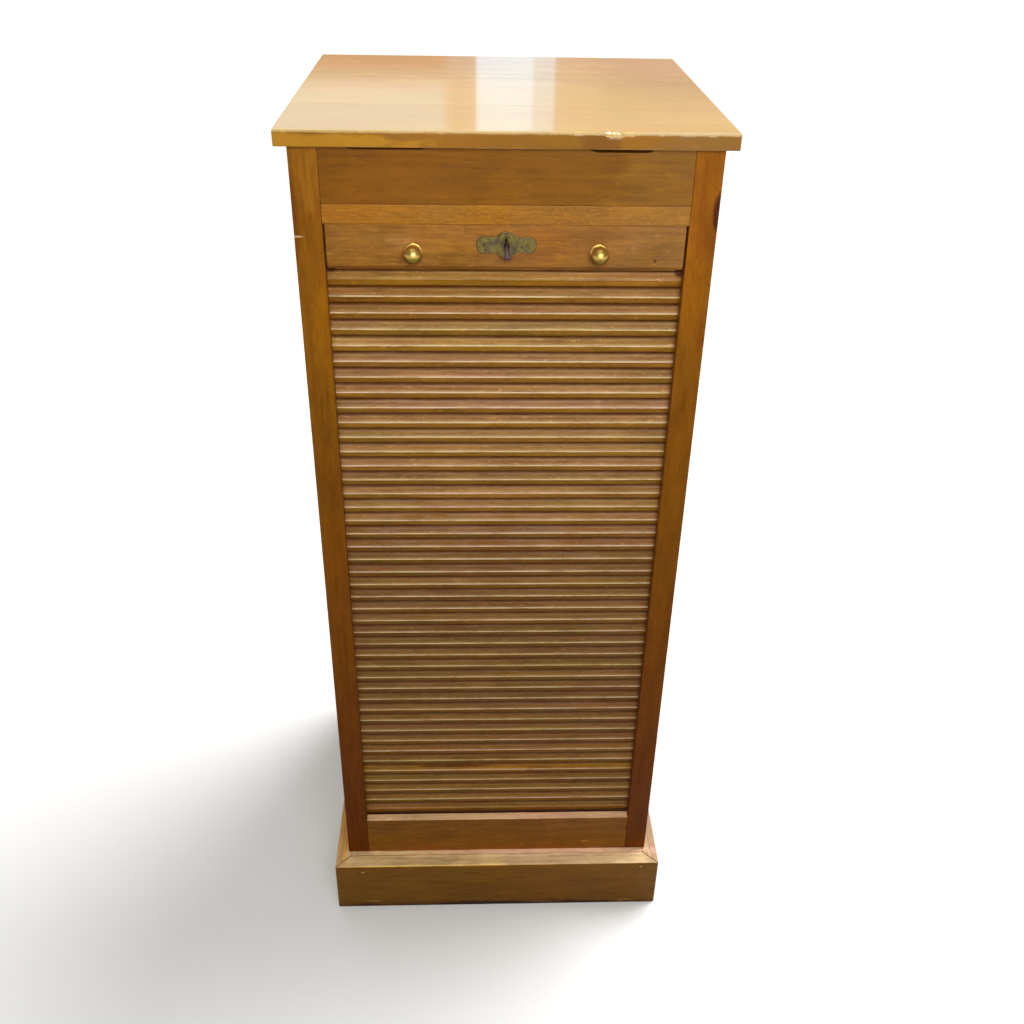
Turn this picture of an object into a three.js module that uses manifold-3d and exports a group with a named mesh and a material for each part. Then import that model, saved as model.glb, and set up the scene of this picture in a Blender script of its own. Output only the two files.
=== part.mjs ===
// A drop-down tambour cabinet in oak, as an assembly of separate pieces.
// Millimetres. X runs to the right, Y from front to back and Z up from the floor.
// The carcase is drawn with its front face at Y = 0 and then moved to the middle of its footprint.

import * as THREE from 'three';
import { mergeVertices } from 'three/addons/utils/BufferGeometryUtils.js';
import Module from 'manifold-3d';

const wasm = await Module();
wasm.setup();

// Carcase
const carcaseWidth = 460;
const carcaseDepth = 440;
const carcaseHeight = 1069.5;
const glueLine = 0.1;
const letInGap = 0.3;

// Top board
const topThickness = 17.5;
const topSideOverhang = 12;
const topFrontOverhang = 12.3;

// Front frame
const stileWidth = 31;
const frameThickness = 13;
const friezeHeight = 62;
const strikeRailHeight = 21.2;
const strikeRailDepth = 30;
const bottomRailHeight = 67.8;

// Side frames
const sideThickness = 20;
const sideStileWidth = 50;
const sideMiddleRailHeight = 54;
const sideMiddleRailZ = 640;
const panelThickness = 7.4;
const panelSetback = 7;
const panelGrooveDepth = 8;
const panelEdgeGap = 1.2;

// Plinth
const plinthHeight = 91;
const plinthBoardThickness = 22;
const plinthFrontProjection = 30;
const plinthSideProjection = 18;
const packingStripThickness = 14;
const cornerBlockSize = 40;
const cornerBlockHeight = 62;

// Track of the shutter
const trackWidth = 12;
const trackBendRadius = 28;
const runningGap = 1;
const cornerBlockArcShare = 0.1;

// Inside
const bottomThickness = 12;
const innerFloorThickness = 10;
const innerFloorRise = 5;
const innerSetback = 2;
const innerTopThickness = 10;
const falseBackThickness = 8;
const shelfThickness = 10;
const shelfSetback = 15;
const shelfCount = 4;
const housingDepth = 3;
const cleatSize = 28;

// Back
const backThickness = 10;
const backBoardCount = 3;
const backJointWidth = 0.8;
const backRailHeight = 46;

// Shutter
const leadRailHeight = 49.3;
const leadRailRecess = 2;
const leadRailEndGap = 2.5;
const leadRailTopGap = 0.5;
const leadLipHeight = 6.6;
const leadLipSetback = 3;
const slatPitch = 20.04;
const slatGap = 0.3;
const slatThickness = 9;
const slatRidgeRise = 1.8;
const slatRidgeRadius = 1.2;
const slatShoulderHeight = 1.5;
const slatQuirkDepth = 3;
const slatRidgeShare = 0.53;
const slatEndGap = 1.5;
const canvasThickness = 0.8;
const canvasMargin = 18;

// Knobs
const knobSpacing = 204;
const knobRise = 19.3;
const knobRoseRadius = 10;
const knobRoseThickness = 2.6;
const knobNeckRadius = 4.2;
const knobBallRadius = 9;
const knobProjection = 22;
const knobBoreDepth = 9;
const knobScrewGrip = 8;
const knobScrewRadius = 2;
const knobScrewHeadRadius = 4.5;
const knobScrewHeadHeight = 2.6;
const screwGap = 0.3;
const knobRoseEdgeShare = 0.45;
const knobRoseRimShare = 0.86;

// Escutcheon
const escutcheonRise = 27.3;
const escutcheonThickness = 1.5;
const escutcheonCentreWidth = 27;
const escutcheonCentreHeight = 30;
const escutcheonLobeRadius = 9.7;
const escutcheonLobeSpacing = 47;
const escutcheonTopPinRise = 10.4;
const pinRadius = 1.3;
const pinHeight = 0.9;
const pinDomeShares = [0.7, 0.6];

// Key
const keyShaftRadius = 2.2;
const keyProjection = 24;
const keyBowLength = 16;
const keyBowWidth = 24;
const keyBowThickness = 3.2;
const keyBowHoleRadius = 1.8;
const keyCollarRadius = 3.4;
const keyCollarLength = 3;
const keyBitReach = 9;
const keyBitThickness = 2.4;
const keyBitLength = 5.6;
const keyholeGap = 0.5;

// Lock
const lockWidth = 58;
const lockHeight = 38;
const lockDepth = 10.6;
const lockWall = 1.5;
const lockFlange = 5;
const boltHeight = 6;
const boltTailLength = 20;
const boltFingerSize = 2.8;
const boltTipClear = 1.5;
const boltTalonWidth = 3;
const boltTalonClear = 1.6;
const boltTalonDrop = 2;

// Link plate
const linkPlateWidth = 56;
const linkPlateDepth = 10;
const linkPlateThickness = 2;
const lugOffset = 16.5;
const lugThickness = 3;
const lugWidth = 6.2;
const lugLength = 12.6;
const lugEyeGap = 0.6;
const lugSlotGap = 0.6;

// Overrun of a cutting tool past the face that it cuts, and the weld distance of drawn corners
const overrun = 2;
const weldDistance = 0.0001;

// Steps round a curve
const roundSteps = 16;
const knobSteps = 20;
const bendSteps = 8;
const smallSteps = 10;

// Levels, from the floor up
const carcaseTopZ = plinthHeight + carcaseHeight;
const totalHeight = carcaseTopZ + topThickness;
const friezeBottomZ = carcaseTopZ - friezeHeight;
const strikeBottomZ = friezeBottomZ - strikeRailHeight;
const bottomRailTopZ = plinthHeight + bottomRailHeight;
const leadRailTopZ = strikeBottomZ - leadRailTopGap;
const leadRailBottomZ = leadRailTopZ - leadRailHeight;
const lipBottomZ = leadRailBottomZ - leadLipHeight;
const curtainTopZ = lipBottomZ - slatGap;
const trackFloorZ = plinthHeight + bottomThickness;
const linerBottomZ = trackFloorZ + trackWidth + runningGap;
const innerFloorTopZ = bottomRailTopZ + innerFloorRise;
const innerTopBottomZ = friezeBottomZ - innerTopThickness;

// Widths, from the middle out
const halfWidth = carcaseWidth / 2;
const openingHalf = halfWidth - stileWidth;
const sideInnerX = halfWidth - sideThickness;
const linerOuterX = sideInnerX - glueLine;
const slatHalf = sideInnerX - slatEndGap;

// Depths, from the front face back
const trackBackY = frameThickness + trackWidth;
const slatRidgeY = frameThickness + runningGap;
const slatBackY = slatRidgeY + slatThickness;
const slatShoulderY = slatRidgeY + slatRidgeRise;
const canvasFrontY = slatBackY + glueLine;
const leadRailBackY = canvasFrontY + canvasThickness + glueLine;
const backFrontY = carcaseDepth - backThickness;
const linerBackY = backFrontY - trackWidth - runningGap;
const falseBackY = linerBackY - falseBackThickness;

// Heights and places that several pieces share
const railHalf = openingHalf - glueLine;
const keyZ = leadRailBottomZ + escutcheonRise;

// Footprint
const frontY = -plinthFrontProjection;
const footprintMiddleY = (frontY + carcaseDepth) / 2;

// Finishes
function finish(color, roughness, metalness) {
  return { color, roughness, metalness };
}
const oak = finish(0x8c5a24, 0.45, 0);
const topOak = finish(0xb47a3a, 0.3, 0);
const slatOak = finish(0x96693c, 0.45, 0);
const innerWood = finish(0xb08a58, 0.7, 0);
const plinthOak = finish(0x6b4318, 0.5, 0);
const cloth = finish(0xb9ab8c, 0.95, 0);
const brass = finish(0xb8964a, 0.25, 1);
const tarnishedBrass = finish(0x7a7242, 0.5, 1);
const steel = finish(0x6f6a6c, 0.4, 1);

const cabinet = new THREE.Group();
const carcase = new THREE.Group();
carcase.position.set(0, -footprintMiddleY, 0);
cabinet.add(carcase);

function piece(name, geometry, look) {
  const mesh = new THREE.Mesh(geometry, new THREE.MeshStandardMaterial(look));
  mesh.name = name;
  carcase.add(mesh);
  return mesh;
}

// A straight board between two corners
function board(name, look, low, high) {
  const size = high.map((value, axis) => value - low[axis]);
  const mesh = piece(name, new THREE.BoxGeometry(...size), look);
  mesh.position.set(...high.map((value, axis) => (value + low[axis]) / 2));
  return mesh;
}

// The same box as a geometry in place, for cutting and joining
function block(low, high) {
  const size = high.map((value, axis) => value - low[axis]);
  const middle = high.map((value, axis) => (value + low[axis]) / 2);
  return new THREE.BoxGeometry(...size).translate(...middle);
}

// A geometry as a solid that can be cut and joined
function solidOf(geometry) {
  const bare = geometry.clone();
  bare.deleteAttribute('normal');
  bare.deleteAttribute('uv');
  const merged = mergeVertices(bare, weldDistance);
  return new wasm.Manifold(new wasm.Mesh({
    numProp: 3,
    vertProperties: Float32Array.from(merged.attributes.position.array),
    triVerts: Uint32Array.from(merged.index.array),
  }));
}

function geometryOf(solid) {
  const mesh = solid.getMesh();
  const geometry = new THREE.BufferGeometry();
  geometry.setAttribute('position', new THREE.BufferAttribute(mesh.vertProperties, 3));
  geometry.setIndex(new THREE.BufferAttribute(mesh.triVerts, 1));
  geometry.computeVertexNormals();
  return geometry;
}

function joined(...geometries) {
  return geometryOf(geometries.map(solidOf).reduce((all, next) => all.add(next)));
}

function cut(geometry, ...tools) {
  return geometryOf(tools.map(solidOf).reduce((rest, tool) => rest.subtract(tool), solidOf(geometry)));
}

// A flat outline (Y across, Z up) given thickness along X
function extrudedAlongX(outline, fromX, toX) {
  const settings = { depth: toX - fromX, bevelEnabled: false, curveSegments: bendSteps };
  const turn = new THREE.Matrix4().makeBasis(
    new THREE.Vector3(0, 1, 0),
    new THREE.Vector3(0, 0, 1),
    new THREE.Vector3(1, 0, 0),
  );
  return new THREE.ExtrudeGeometry(outline, settings).applyMatrix4(turn).translate(fromX, 0, 0);
}

// A flat outline (X across, Z up) given thickness along Y
function extrudedAlongY(outline, frontFaceY, backFaceY) {
  const settings = { depth: backFaceY - frontFaceY, bevelEnabled: false, curveSegments: smallSteps };
  const turn = new THREE.Matrix4().makeBasis(
    new THREE.Vector3(1, 0, 0),
    new THREE.Vector3(0, 0, 1),
    new THREE.Vector3(0, -1, 0),
  );
  return new THREE.ExtrudeGeometry(outline, settings).applyMatrix4(turn).translate(0, backFaceY, 0);
}

// A turned solid that stands on the plane Z = 0, and any such solid aimed along an axis
function turned(profile, steps) {
  const points = profile.map(([radius, along]) => new THREE.Vector2(radius, along));
  return new THREE.LatheGeometry(points, steps).rotateX(Math.PI / 2);
}

function aimed(geometry, direction, x, y, z) {
  const turns = { front: Math.PI / 2, back: -Math.PI / 2, down: Math.PI, up: 0 };
  return geometry.rotateX(turns[direction]).translate(x, y, z);
}

function rod(radius, from, to, steps = roundSteps) {
  return turned([[0, from], [radius, from], [radius, to], [0, to]], steps);
}

// A countersunk screw: its head's face is at 0 and its tip at its length
function screw({ radius, headRadius, headHeight, length }) {
  return turned([[0, 0], [headRadius, 0], [radius, headHeight], [radius, length], [0, length]], smallSteps);
}

// The hole for that screw, open past the face that the head lies in
function screwHole({ radius, headRadius, headHeight, length }) {
  return turned([
    [0, -overrun],
    [headRadius + screwGap, -overrun],
    [headRadius + screwGap, 0],
    [radius + screwGap, headHeight],
    [radius + screwGap, length + screwGap],
    [0, length + screwGap],
  ], smallSteps);
}

const sides = [['left', -1], ['right', 1]];

// A span of X given for the right side, mirrored for the left
function spanX(sign, innerX, outerX) {
  return sign > 0 ? [innerX, outerX] : [-outerX, -innerX];
}

function sideBoard(name, look, sign, [innerX, outerX], [lowY, highY], [lowZ, highZ]) {
  const [lowX, highX] = spanX(sign, innerX, outerX);
  board(name, look, [lowX, lowY, lowZ], [highX, highY, highZ]);
}

function sideBlock(sign, [innerX, outerX], [lowY, highY], [lowZ, highZ]) {
  const [lowX, highX] = spanX(sign, innerX, outerX);
  return block([lowX, lowY, lowZ], [highX, highY, highZ]);
}

// Top board, and the cleats inside the carcase that hold it
board('top_board', topOak,
  [-halfWidth - topSideOverhang, -topFrontOverhang, carcaseTopZ + glueLine],
  [halfWidth + topSideOverhang, carcaseDepth, totalHeight]);
const cleatY = [strikeRailDepth + glueLine, falseBackY - glueLine];
for (const [label, sign] of sides) {
  sideBoard(`top_cleat_${label}`, innerWood, sign, [railHalf - cleatSize, railHalf], cleatY,
    [carcaseTopZ - cleatSize, carcaseTopZ]);
}

// Front frame
const frameY = [0, frameThickness];
const frameBottomZ = plinthHeight + glueLine;
for (const [label, sign] of sides) {
  sideBoard(`front_stile_${label}`, oak, sign, [openingHalf, halfWidth], frameY, [frameBottomZ, carcaseTopZ]);
}
board('frieze_board', oak, [-railHalf, 0, friezeBottomZ + glueLine], [railHalf, frameThickness, carcaseTopZ]);
board('bottom_rail', oak, [-railHalf, 0, frameBottomZ], [railHalf, frameThickness, bottomRailTopZ]);

// Link plate, let into the underside of the strike rail, with the lug that the bolt passes through
const plateMiddleY = leadRailBackY - lockDepth / 2;
const plateHalf = linkPlateWidth / 2;
const plateLowY = plateMiddleY - linkPlateDepth / 2;
const plateHighY = plateMiddleY + linkPlateDepth / 2;
const plateTopZ = strikeBottomZ + linkPlateThickness;
const boltMiddleZ = keyZ + keyBitReach + boltTalonClear + boltHeight / 2;
const lugEyeHalf = boltFingerSize / 2 + lugEyeGap;
const lugInnerX = lugOffset - lugThickness / 2;

piece('strike_rail', cut(
  block([-railHalf, 0, strikeBottomZ], [railHalf, strikeRailDepth, friezeBottomZ]),
  block(
    [-plateHalf - letInGap, plateLowY - letInGap, strikeBottomZ - overrun],
    [plateHalf + letInGap, plateHighY + letInGap, plateTopZ + letInGap],
  ),
), oak);

piece('link_plate', cut(
  joined(
    block([-plateHalf, plateLowY, strikeBottomZ], [plateHalf, plateHighY, plateTopZ]),
    block(
      [lugInnerX, plateMiddleY - lugWidth / 2, strikeBottomZ - lugLength],
      [lugInnerX + lugThickness, plateMiddleY + lugWidth / 2, plateTopZ],
    ),
  ),
  block(
    [lugInnerX - overrun, plateMiddleY - lugEyeHalf, boltMiddleZ - lugEyeHalf],
    [lugInnerX + lugThickness + overrun, plateMiddleY + lugEyeHalf, boltMiddleZ + lugEyeHalf],
  ),
), brass);

// Side frames: grooved stiles and rails round two flat panels
const sideX = [sideInnerX, halfWidth];
const panelX = [halfWidth - panelSetback - panelThickness, halfWidth - panelSetback];
const grooveX = [panelX[0] - letInGap, panelX[1] + letInGap];
const sideFrontY = frameThickness + glueLine;
const panelFrontY = sideFrontY + sideStileWidth;
const panelBackY = carcaseDepth - sideStileWidth;
const panelReach = panelGrooveDepth - panelEdgeGap;
const middleLowZ = sideMiddleRailZ - sideMiddleRailHeight / 2;
const middleHighZ = sideMiddleRailZ + sideMiddleRailHeight / 2;
const grooveZ = [frameBottomZ - overrun, carcaseTopZ + overrun];

// A rail between the stiles, with stub tenons in their grooves and a groove in each edge that meets a panel
function sideRail(name, sign, lowZ, highZ, grooveBelow, grooveAbove) {
  const tenonZ = [
    lowZ + (grooveBelow ? panelGrooveDepth : 0),
    highZ - (grooveAbove ? panelGrooveDepth : 0),
  ];
  const bodyY = [panelFrontY + glueLine, panelBackY - glueLine];
  const tenonY = [panelFrontY - panelReach, panelBackY + panelReach];
  const blank = joined(
    sideBlock(sign, sideX, bodyY, [lowZ, highZ]),
    sideBlock(sign, panelX, tenonY, tenonZ),
  );
  const cutY = [bodyY[0] - overrun, bodyY[1] + overrun];
  const grooves = [];
  if (grooveBelow) {
    grooves.push(sideBlock(sign, grooveX, cutY, [lowZ - overrun, lowZ + panelGrooveDepth]));
  }
  if (grooveAbove) {
    grooves.push(sideBlock(sign, grooveX, cutY, [highZ - panelGrooveDepth, highZ + overrun]));
  }
  piece(name, cut(blank, ...grooves), oak);
}

for (const [label, sign] of sides) {
  const name = (part) => `side_${label}_${part}`;
  piece(name('front_stile'), cut(
    sideBlock(sign, sideX, [sideFrontY, panelFrontY], [frameBottomZ, carcaseTopZ]),
    sideBlock(sign, grooveX, [panelFrontY - panelGrooveDepth, panelFrontY + overrun], grooveZ),
  ), oak);
  piece(name('rear_stile'), cut(
    sideBlock(sign, sideX, [panelBackY, carcaseDepth], [frameBottomZ, carcaseTopZ]),
    sideBlock(sign, grooveX, [panelBackY - overrun, panelBackY + panelGrooveDepth], grooveZ),
  ), oak);
  sideRail(name('top_rail'), sign, friezeBottomZ, carcaseTopZ, true, false);
  sideRail(name('middle_rail'), sign, middleLowZ, middleHighZ, true, true);
  sideRail(name('bottom_rail'), sign, frameBottomZ, bottomRailTopZ, false, true);
  const panelY = [panelFrontY - panelReach, panelBackY + panelReach];
  sideBoard(name('upper_panel'), oak, sign, panelX, panelY,
    [middleHighZ - panelReach, friezeBottomZ + panelReach]);
  sideBoard(name('lower_panel'), oak, sign, panelX, panelY,
    [bottomRailTopZ - panelReach, middleLowZ + panelReach]);
}

// Liners: the inner sides, whose edges and round corners guide the slats, with a housing for each shelf
const bendZ = linerBottomZ + trackBendRadius;
const frontBendY = trackBackY + trackBendRadius;
const backBendY = linerBackY - trackBendRadius;
const linerOutline = new THREE.Shape();
linerOutline.moveTo(trackBackY, carcaseTopZ);
linerOutline.lineTo(trackBackY, bendZ);
linerOutline.absarc(frontBendY, bendZ, trackBendRadius, Math.PI, Math.PI * 1.5, false);
linerOutline.lineTo(backBendY, linerBottomZ);
linerOutline.absarc(backBendY, bendZ, trackBendRadius, -Math.PI / 2, 0, false);
linerOutline.lineTo(linerBackY, carcaseTopZ);

const innerFrontY = trackBackY + innerSetback;
const innerBackY = falseBackY - glueLine;
const shelfFrontY = trackBackY + shelfSetback;
const roomHeight = (innerTopBottomZ - innerFloorTopZ - shelfCount * shelfThickness) / (shelfCount + 1);
const shelfZs = Array.from({ length: shelfCount }, (_, index) => (
  innerFloorTopZ + (index + 1) * roomHeight + index * shelfThickness
));
for (const [label, sign] of sides) {
  const housings = shelfZs.map((shelfZ) => sideBlock(
    sign,
    [openingHalf - overrun, openingHalf + housingDepth],
    [shelfFrontY - letInGap, innerBackY + letInGap],
    [shelfZ - letInGap, shelfZ + shelfThickness + letInGap],
  ));
  const blank = extrudedAlongX(linerOutline, ...spanX(sign, openingHalf, linerOuterX));
  piece(`liner_${label}`, cut(blank, ...housings), innerWood);
}

// Track corner blocks: the outer wall of the two bends, on each side
const bendOuterRadius = trackBendRadius + trackWidth - glueLine;
const trim = cornerBlockArcShare * Math.PI;
const blockBottomZ = trackFloorZ + glueLine;

function cornerOutline(bendY, wallY) {
  const towards = Math.sign(wallY - bendY);
  const arc = Array.from({ length: bendSteps + 1 }, (_, step) => {
    const angle = trim + (step / bendSteps) * (Math.PI / 2 - 2 * trim);
    return new THREE.Vector2(
      bendY + towards * bendOuterRadius * Math.sin(angle),
      bendZ - bendOuterRadius * Math.cos(angle),
    );
  });
  return new THREE.Shape([
    new THREE.Vector2(wallY, blockBottomZ),
    new THREE.Vector2(arc[0].x, blockBottomZ),
    ...arc,
    new THREE.Vector2(wallY, arc[bendSteps].y),
  ]);
}

for (const [label, sign] of sides) {
  const span = spanX(sign, openingHalf, linerOuterX);
  const front = cornerOutline(frontBendY, sideFrontY);
  const rear = cornerOutline(backBendY, backFrontY - glueLine);
  piece(`track_block_front_${label}`, extrudedAlongX(front, ...span), innerWood);
  piece(`track_block_rear_${label}`, extrudedAlongX(rear, ...span), innerWood);
}

// Floor, ceiling, false back and shelves of the inner case
board('inner_floor', innerWood,
  [-railHalf, innerFrontY, innerFloorTopZ - innerFloorThickness], [railHalf, innerBackY, innerFloorTopZ]);
board('inner_top', innerWood,
  [-railHalf, strikeRailDepth + glueLine, innerTopBottomZ], [railHalf, innerBackY, friezeBottomZ]);
board('false_back', innerWood,
  [-railHalf, falseBackY, innerFloorTopZ - innerFloorThickness], [railHalf, linerBackY, carcaseTopZ]);
const shelfHalf = openingHalf + housingDepth - letInGap;
shelfZs.forEach((shelfZ, index) => {
  board(`shelf_${index + 1}`, innerWood,
    [-shelfHalf, shelfFrontY, shelfZ], [shelfHalf, innerBackY, shelfZ + shelfThickness]);
});

// Carcase bottom, back boards and the rail that they hang on
board('carcase_bottom', innerWood,
  [-linerOuterX, sideFrontY, frameBottomZ], [linerOuterX, backFrontY - glueLine, trackFloorZ]);
board('back_rail', innerWood,
  [-linerOuterX, linerBackY + glueLine, carcaseTopZ - backRailHeight],
  [linerOuterX, backFrontY - glueLine, carcaseTopZ]);
const backBoardWidth = (2 * linerOuterX - (backBoardCount - 1) * backJointWidth) / backBoardCount;
for (let index = 0; index < backBoardCount; index += 1) {
  const lowX = -linerOuterX + index * (backBoardWidth + backJointWidth);
  board(`back_board_${index + 1}`, innerWood,
    [lowX, backFrontY, frameBottomZ], [lowX + backBoardWidth, carcaseDepth, carcaseTopZ]);
}

// Plinth: mitred front and side boards, a packing strip, a back board and corner blocks
const plinthOuterX = halfWidth + plinthSideProjection;
const plinthInnerX = plinthOuterX - plinthBoardThickness;
const plinthInnerY = frontY + plinthBoardThickness;
const plinthBackY = carcaseDepth - plinthBoardThickness;
const mitre = [[plinthOuterX, frontY], [plinthInnerX, plinthInnerY]];
const planOutline = (points) => new THREE.Shape(points.map(([x, y]) => new THREE.Vector2(x, y)));
const raised = { depth: plinthHeight, bevelEnabled: false };

piece('plinth_front', new THREE.ExtrudeGeometry(planOutline([
  [-mitre[0][0], mitre[0][1]],
  mitre[0],
  mitre[1],
  [-mitre[1][0], mitre[1][1]],
]), raised), plinthOak);
for (const [label, sign] of sides) {
  piece(`plinth_${label}`, new THREE.ExtrudeGeometry(planOutline([
    [sign * mitre[0][0], mitre[0][1] + letInGap],
    [sign * mitre[0][0], carcaseDepth],
    [sign * mitre[1][0], carcaseDepth],
    [sign * mitre[1][0], mitre[1][1] + letInGap],
  ]), raised), plinthOak);
}
board('plinth_packing_strip', innerWood,
  [-plinthInnerX + glueLine, plinthInnerY + glueLine, 0],
  [plinthInnerX - glueLine, plinthInnerY + packingStripThickness, plinthHeight]);
board('plinth_back', plinthOak,
  [-plinthInnerX + glueLine, plinthBackY, 0], [plinthInnerX - glueLine, carcaseDepth, plinthHeight]);

const cornerBlockX = [plinthInnerX - glueLine - cornerBlockSize, plinthInnerX - glueLine];
const cornerBlockZ = [plinthHeight - cornerBlockHeight, plinthHeight];
const frontBlockY = plinthInnerY + packingStripThickness + glueLine;
const rearBlockY = plinthBackY - glueLine;
for (const [label, sign] of sides) {
  sideBoard(`plinth_block_front_${label}`, innerWood, sign, cornerBlockX,
    [frontBlockY, frontBlockY + cornerBlockSize], cornerBlockZ);
  sideBoard(`plinth_block_rear_${label}`, innerWood, sign, cornerBlockX,
    [rearBlockY - cornerBlockSize, rearBlockY], cornerBlockZ);
}

// Lead rail: a solid block between the stiles, tongues behind them, a lip below and the lock let into its back
const blockHalf = openingHalf - leadRailEndGap;
const lockHalf = lockWidth / 2;
const lockFrontY = leadRailBackY - lockDepth;
const lockBottomZ = leadRailTopZ - lockHeight;
const flangeHalf = lockHalf + lockFlange;
const flangeFrontY = leadRailBackY - lockWall;
const knobHalf = knobSpacing / 2;
const knobZ = leadRailBottomZ + knobRise;
const knobFaceY = leadRailRecess - glueLine;
const railThickness = leadRailBackY - leadRailRecess;
const knobScrew = {
  radius: knobScrewRadius,
  headRadius: knobScrewHeadRadius,
  headHeight: knobScrewHeadHeight,
  length: railThickness + knobScrewGrip,
};
const pinSpots = [
  [-escutcheonLobeSpacing / 2, keyZ],
  [escutcheonLobeSpacing / 2, keyZ],
  [0, keyZ + escutcheonTopPinRise],
];
const escutcheonFrontY = knobFaceY - escutcheonThickness;

// The keyhole: a round hole for the shaft with a slot below it for the bit
function keyhole(fromY, toY) {
  const slotHalf = keyBitThickness / 2 + keyholeGap;
  return joined(
    aimed(rod(keyShaftRadius + keyholeGap, fromY, toY), 'back', 0, 0, keyZ),
    block([-slotHalf, fromY, keyZ - keyBitReach - keyholeGap], [slotHalf, toY, keyZ]),
  );
}

piece('lead_rail', cut(
  joined(
    block([-blockHalf, leadRailRecess, leadRailBottomZ], [blockHalf, leadRailBackY, leadRailTopZ]),
    block([-slatHalf, slatRidgeY, leadRailBottomZ], [slatHalf, slatBackY, leadRailTopZ]),
    block([-slatHalf, slatRidgeY + leadLipSetback, lipBottomZ], [slatHalf, slatBackY, leadRailTopZ]),
  ),
  block(
    [-lockHalf - letInGap, lockFrontY - letInGap, lockBottomZ - letInGap],
    [lockHalf + letInGap, leadRailBackY + overrun, leadRailTopZ + overrun],
  ),
  block(
    [-flangeHalf - letInGap, flangeFrontY - letInGap, lockBottomZ - letInGap],
    [flangeHalf + letInGap, leadRailBackY + overrun, leadRailTopZ + overrun],
  ),
  keyhole(leadRailRecess - overrun, lockFrontY + overrun),
  ...[-knobHalf, knobHalf].map((x) => aimed(screwHole(knobScrew), 'front', x, leadRailBackY, knobZ)),
), oak);

// Curtain: slats with a low ridge between two flat faces and a quirk at each edge, glued to a canvas
const slatHeight = slatPitch - slatGap;
const slatOutline = (topZ) => {
  const bottomZ = topZ - slatHeight;
  const ridgeZ = topZ - slatRidgeShare * slatPitch;
  const slope = slatRidgeRise / (topZ - slatShoulderHeight - ridgeZ);
  const lowerSlope = slatRidgeRise / (ridgeZ - bottomZ - slatShoulderHeight);
  const quirkY = slatShoulderY + slatQuirkDepth;
  const outline = new THREE.Shape();
  outline.moveTo(slatBackY, topZ);
  outline.lineTo(quirkY, topZ);
  outline.lineTo(slatShoulderY, topZ - slatShoulderHeight);
  outline.lineTo(slatRidgeY + slope * slatRidgeRadius, ridgeZ + slatRidgeRadius);
  outline.lineTo(slatRidgeY, ridgeZ);
  outline.lineTo(slatRidgeY + lowerSlope * slatRidgeRadius, ridgeZ - slatRidgeRadius);
  outline.lineTo(slatShoulderY, bottomZ + slatShoulderHeight);
  outline.lineTo(quirkY, bottomZ);
  outline.lineTo(slatBackY, bottomZ);
  return outline;
};
const slatCount = Math.ceil((curtainTopZ - bottomRailTopZ) / slatPitch);
const slats = Array.from({ length: slatCount }, (_, index) => (
  extrudedAlongX(slatOutline(curtainTopZ - index * slatPitch), -slatHalf, slatHalf)
));
const curtainBottomZ = curtainTopZ - slatCount * slatPitch + slatGap;
const canvasHalf = openingHalf - canvasMargin;
const canvasBackY = canvasFrontY + canvasThickness;
piece('tambour_curtain', joined(
  block([-canvasHalf, slatBackY - glueLine, curtainBottomZ], [canvasHalf, canvasBackY, curtainTopZ]),
  block([-canvasHalf, canvasFrontY, curtainTopZ - overrun], [canvasHalf, canvasBackY, leadRailBottomZ - glueLine]),
  ...slats,
), slatOak);

// Knobs, turned with their roses, and the screws that hold them from behind
const ballOut = knobProjection - knobBallRadius;
const neckAngle = Math.asin(knobNeckRadius / knobBallRadius);
const ballArc = Array.from({ length: bendSteps + 1 }, (_, step) => {
  const angle = neckAngle + (step / bendSteps) * (Math.PI - neckAngle);
  return [step < bendSteps ? knobBallRadius * Math.sin(angle) : 0, ballOut - knobBallRadius * Math.cos(angle)];
});
const knobProfile = [
  [0, knobBoreDepth],
  [knobScrewRadius + screwGap, knobBoreDepth],
  [knobScrewRadius + screwGap, 0],
  [knobRoseRadius, 0],
  [knobRoseRadius, knobRoseEdgeShare * knobRoseThickness],
  [knobRoseRimShare * knobRoseRadius, knobRoseThickness],
  [knobNeckRadius, knobRoseThickness],
  ...ballArc,
];
for (const [label, sign] of sides) {
  const x = sign * knobHalf;
  piece(`knob_${label}`, aimed(turned(knobProfile, knobSteps), 'front', x, knobFaceY, knobZ), brass);
  piece(`knob_screw_${label}`, aimed(screw(knobScrew), 'front', x, leadRailBackY, knobZ), steel);
}

// Escutcheon: a centre plate and two round lobes, with domed pins and the keyhole through it
const lobeHalfSpacing = escutcheonLobeSpacing / 2;
const lobes = new THREE.Shape();
lobes.absarc(lobeHalfSpacing, keyZ, escutcheonLobeRadius, -Math.PI / 2, Math.PI / 2, false);
lobes.absarc(-lobeHalfSpacing, keyZ, escutcheonLobeRadius, Math.PI / 2, Math.PI * 1.5, false);
const centrePlate = new THREE.Shape();
centrePlate.absellipse(0, keyZ, escutcheonCentreWidth / 2, escutcheonCentreHeight / 2, 0, Math.PI * 2, false, 0);
const pinProfile = [
  [0, -pinHeight],
  [pinDomeShares[0] * pinRadius, -pinDomeShares[1] * pinHeight],
  [pinRadius, 0],
  [pinRadius, escutcheonThickness / 2],
  [0, escutcheonThickness / 2],
];
piece('escutcheon', cut(
  joined(
    extrudedAlongY(lobes, escutcheonFrontY, knobFaceY),
    extrudedAlongY(centrePlate, escutcheonFrontY, knobFaceY),
    ...pinSpots.map(([x, z]) => aimed(turned(pinProfile, smallSteps), 'back', x, escutcheonFrontY, z)),
  ),
  keyhole(escutcheonFrontY - overrun, knobFaceY + overrun),
), tarnishedBrass);

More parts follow.
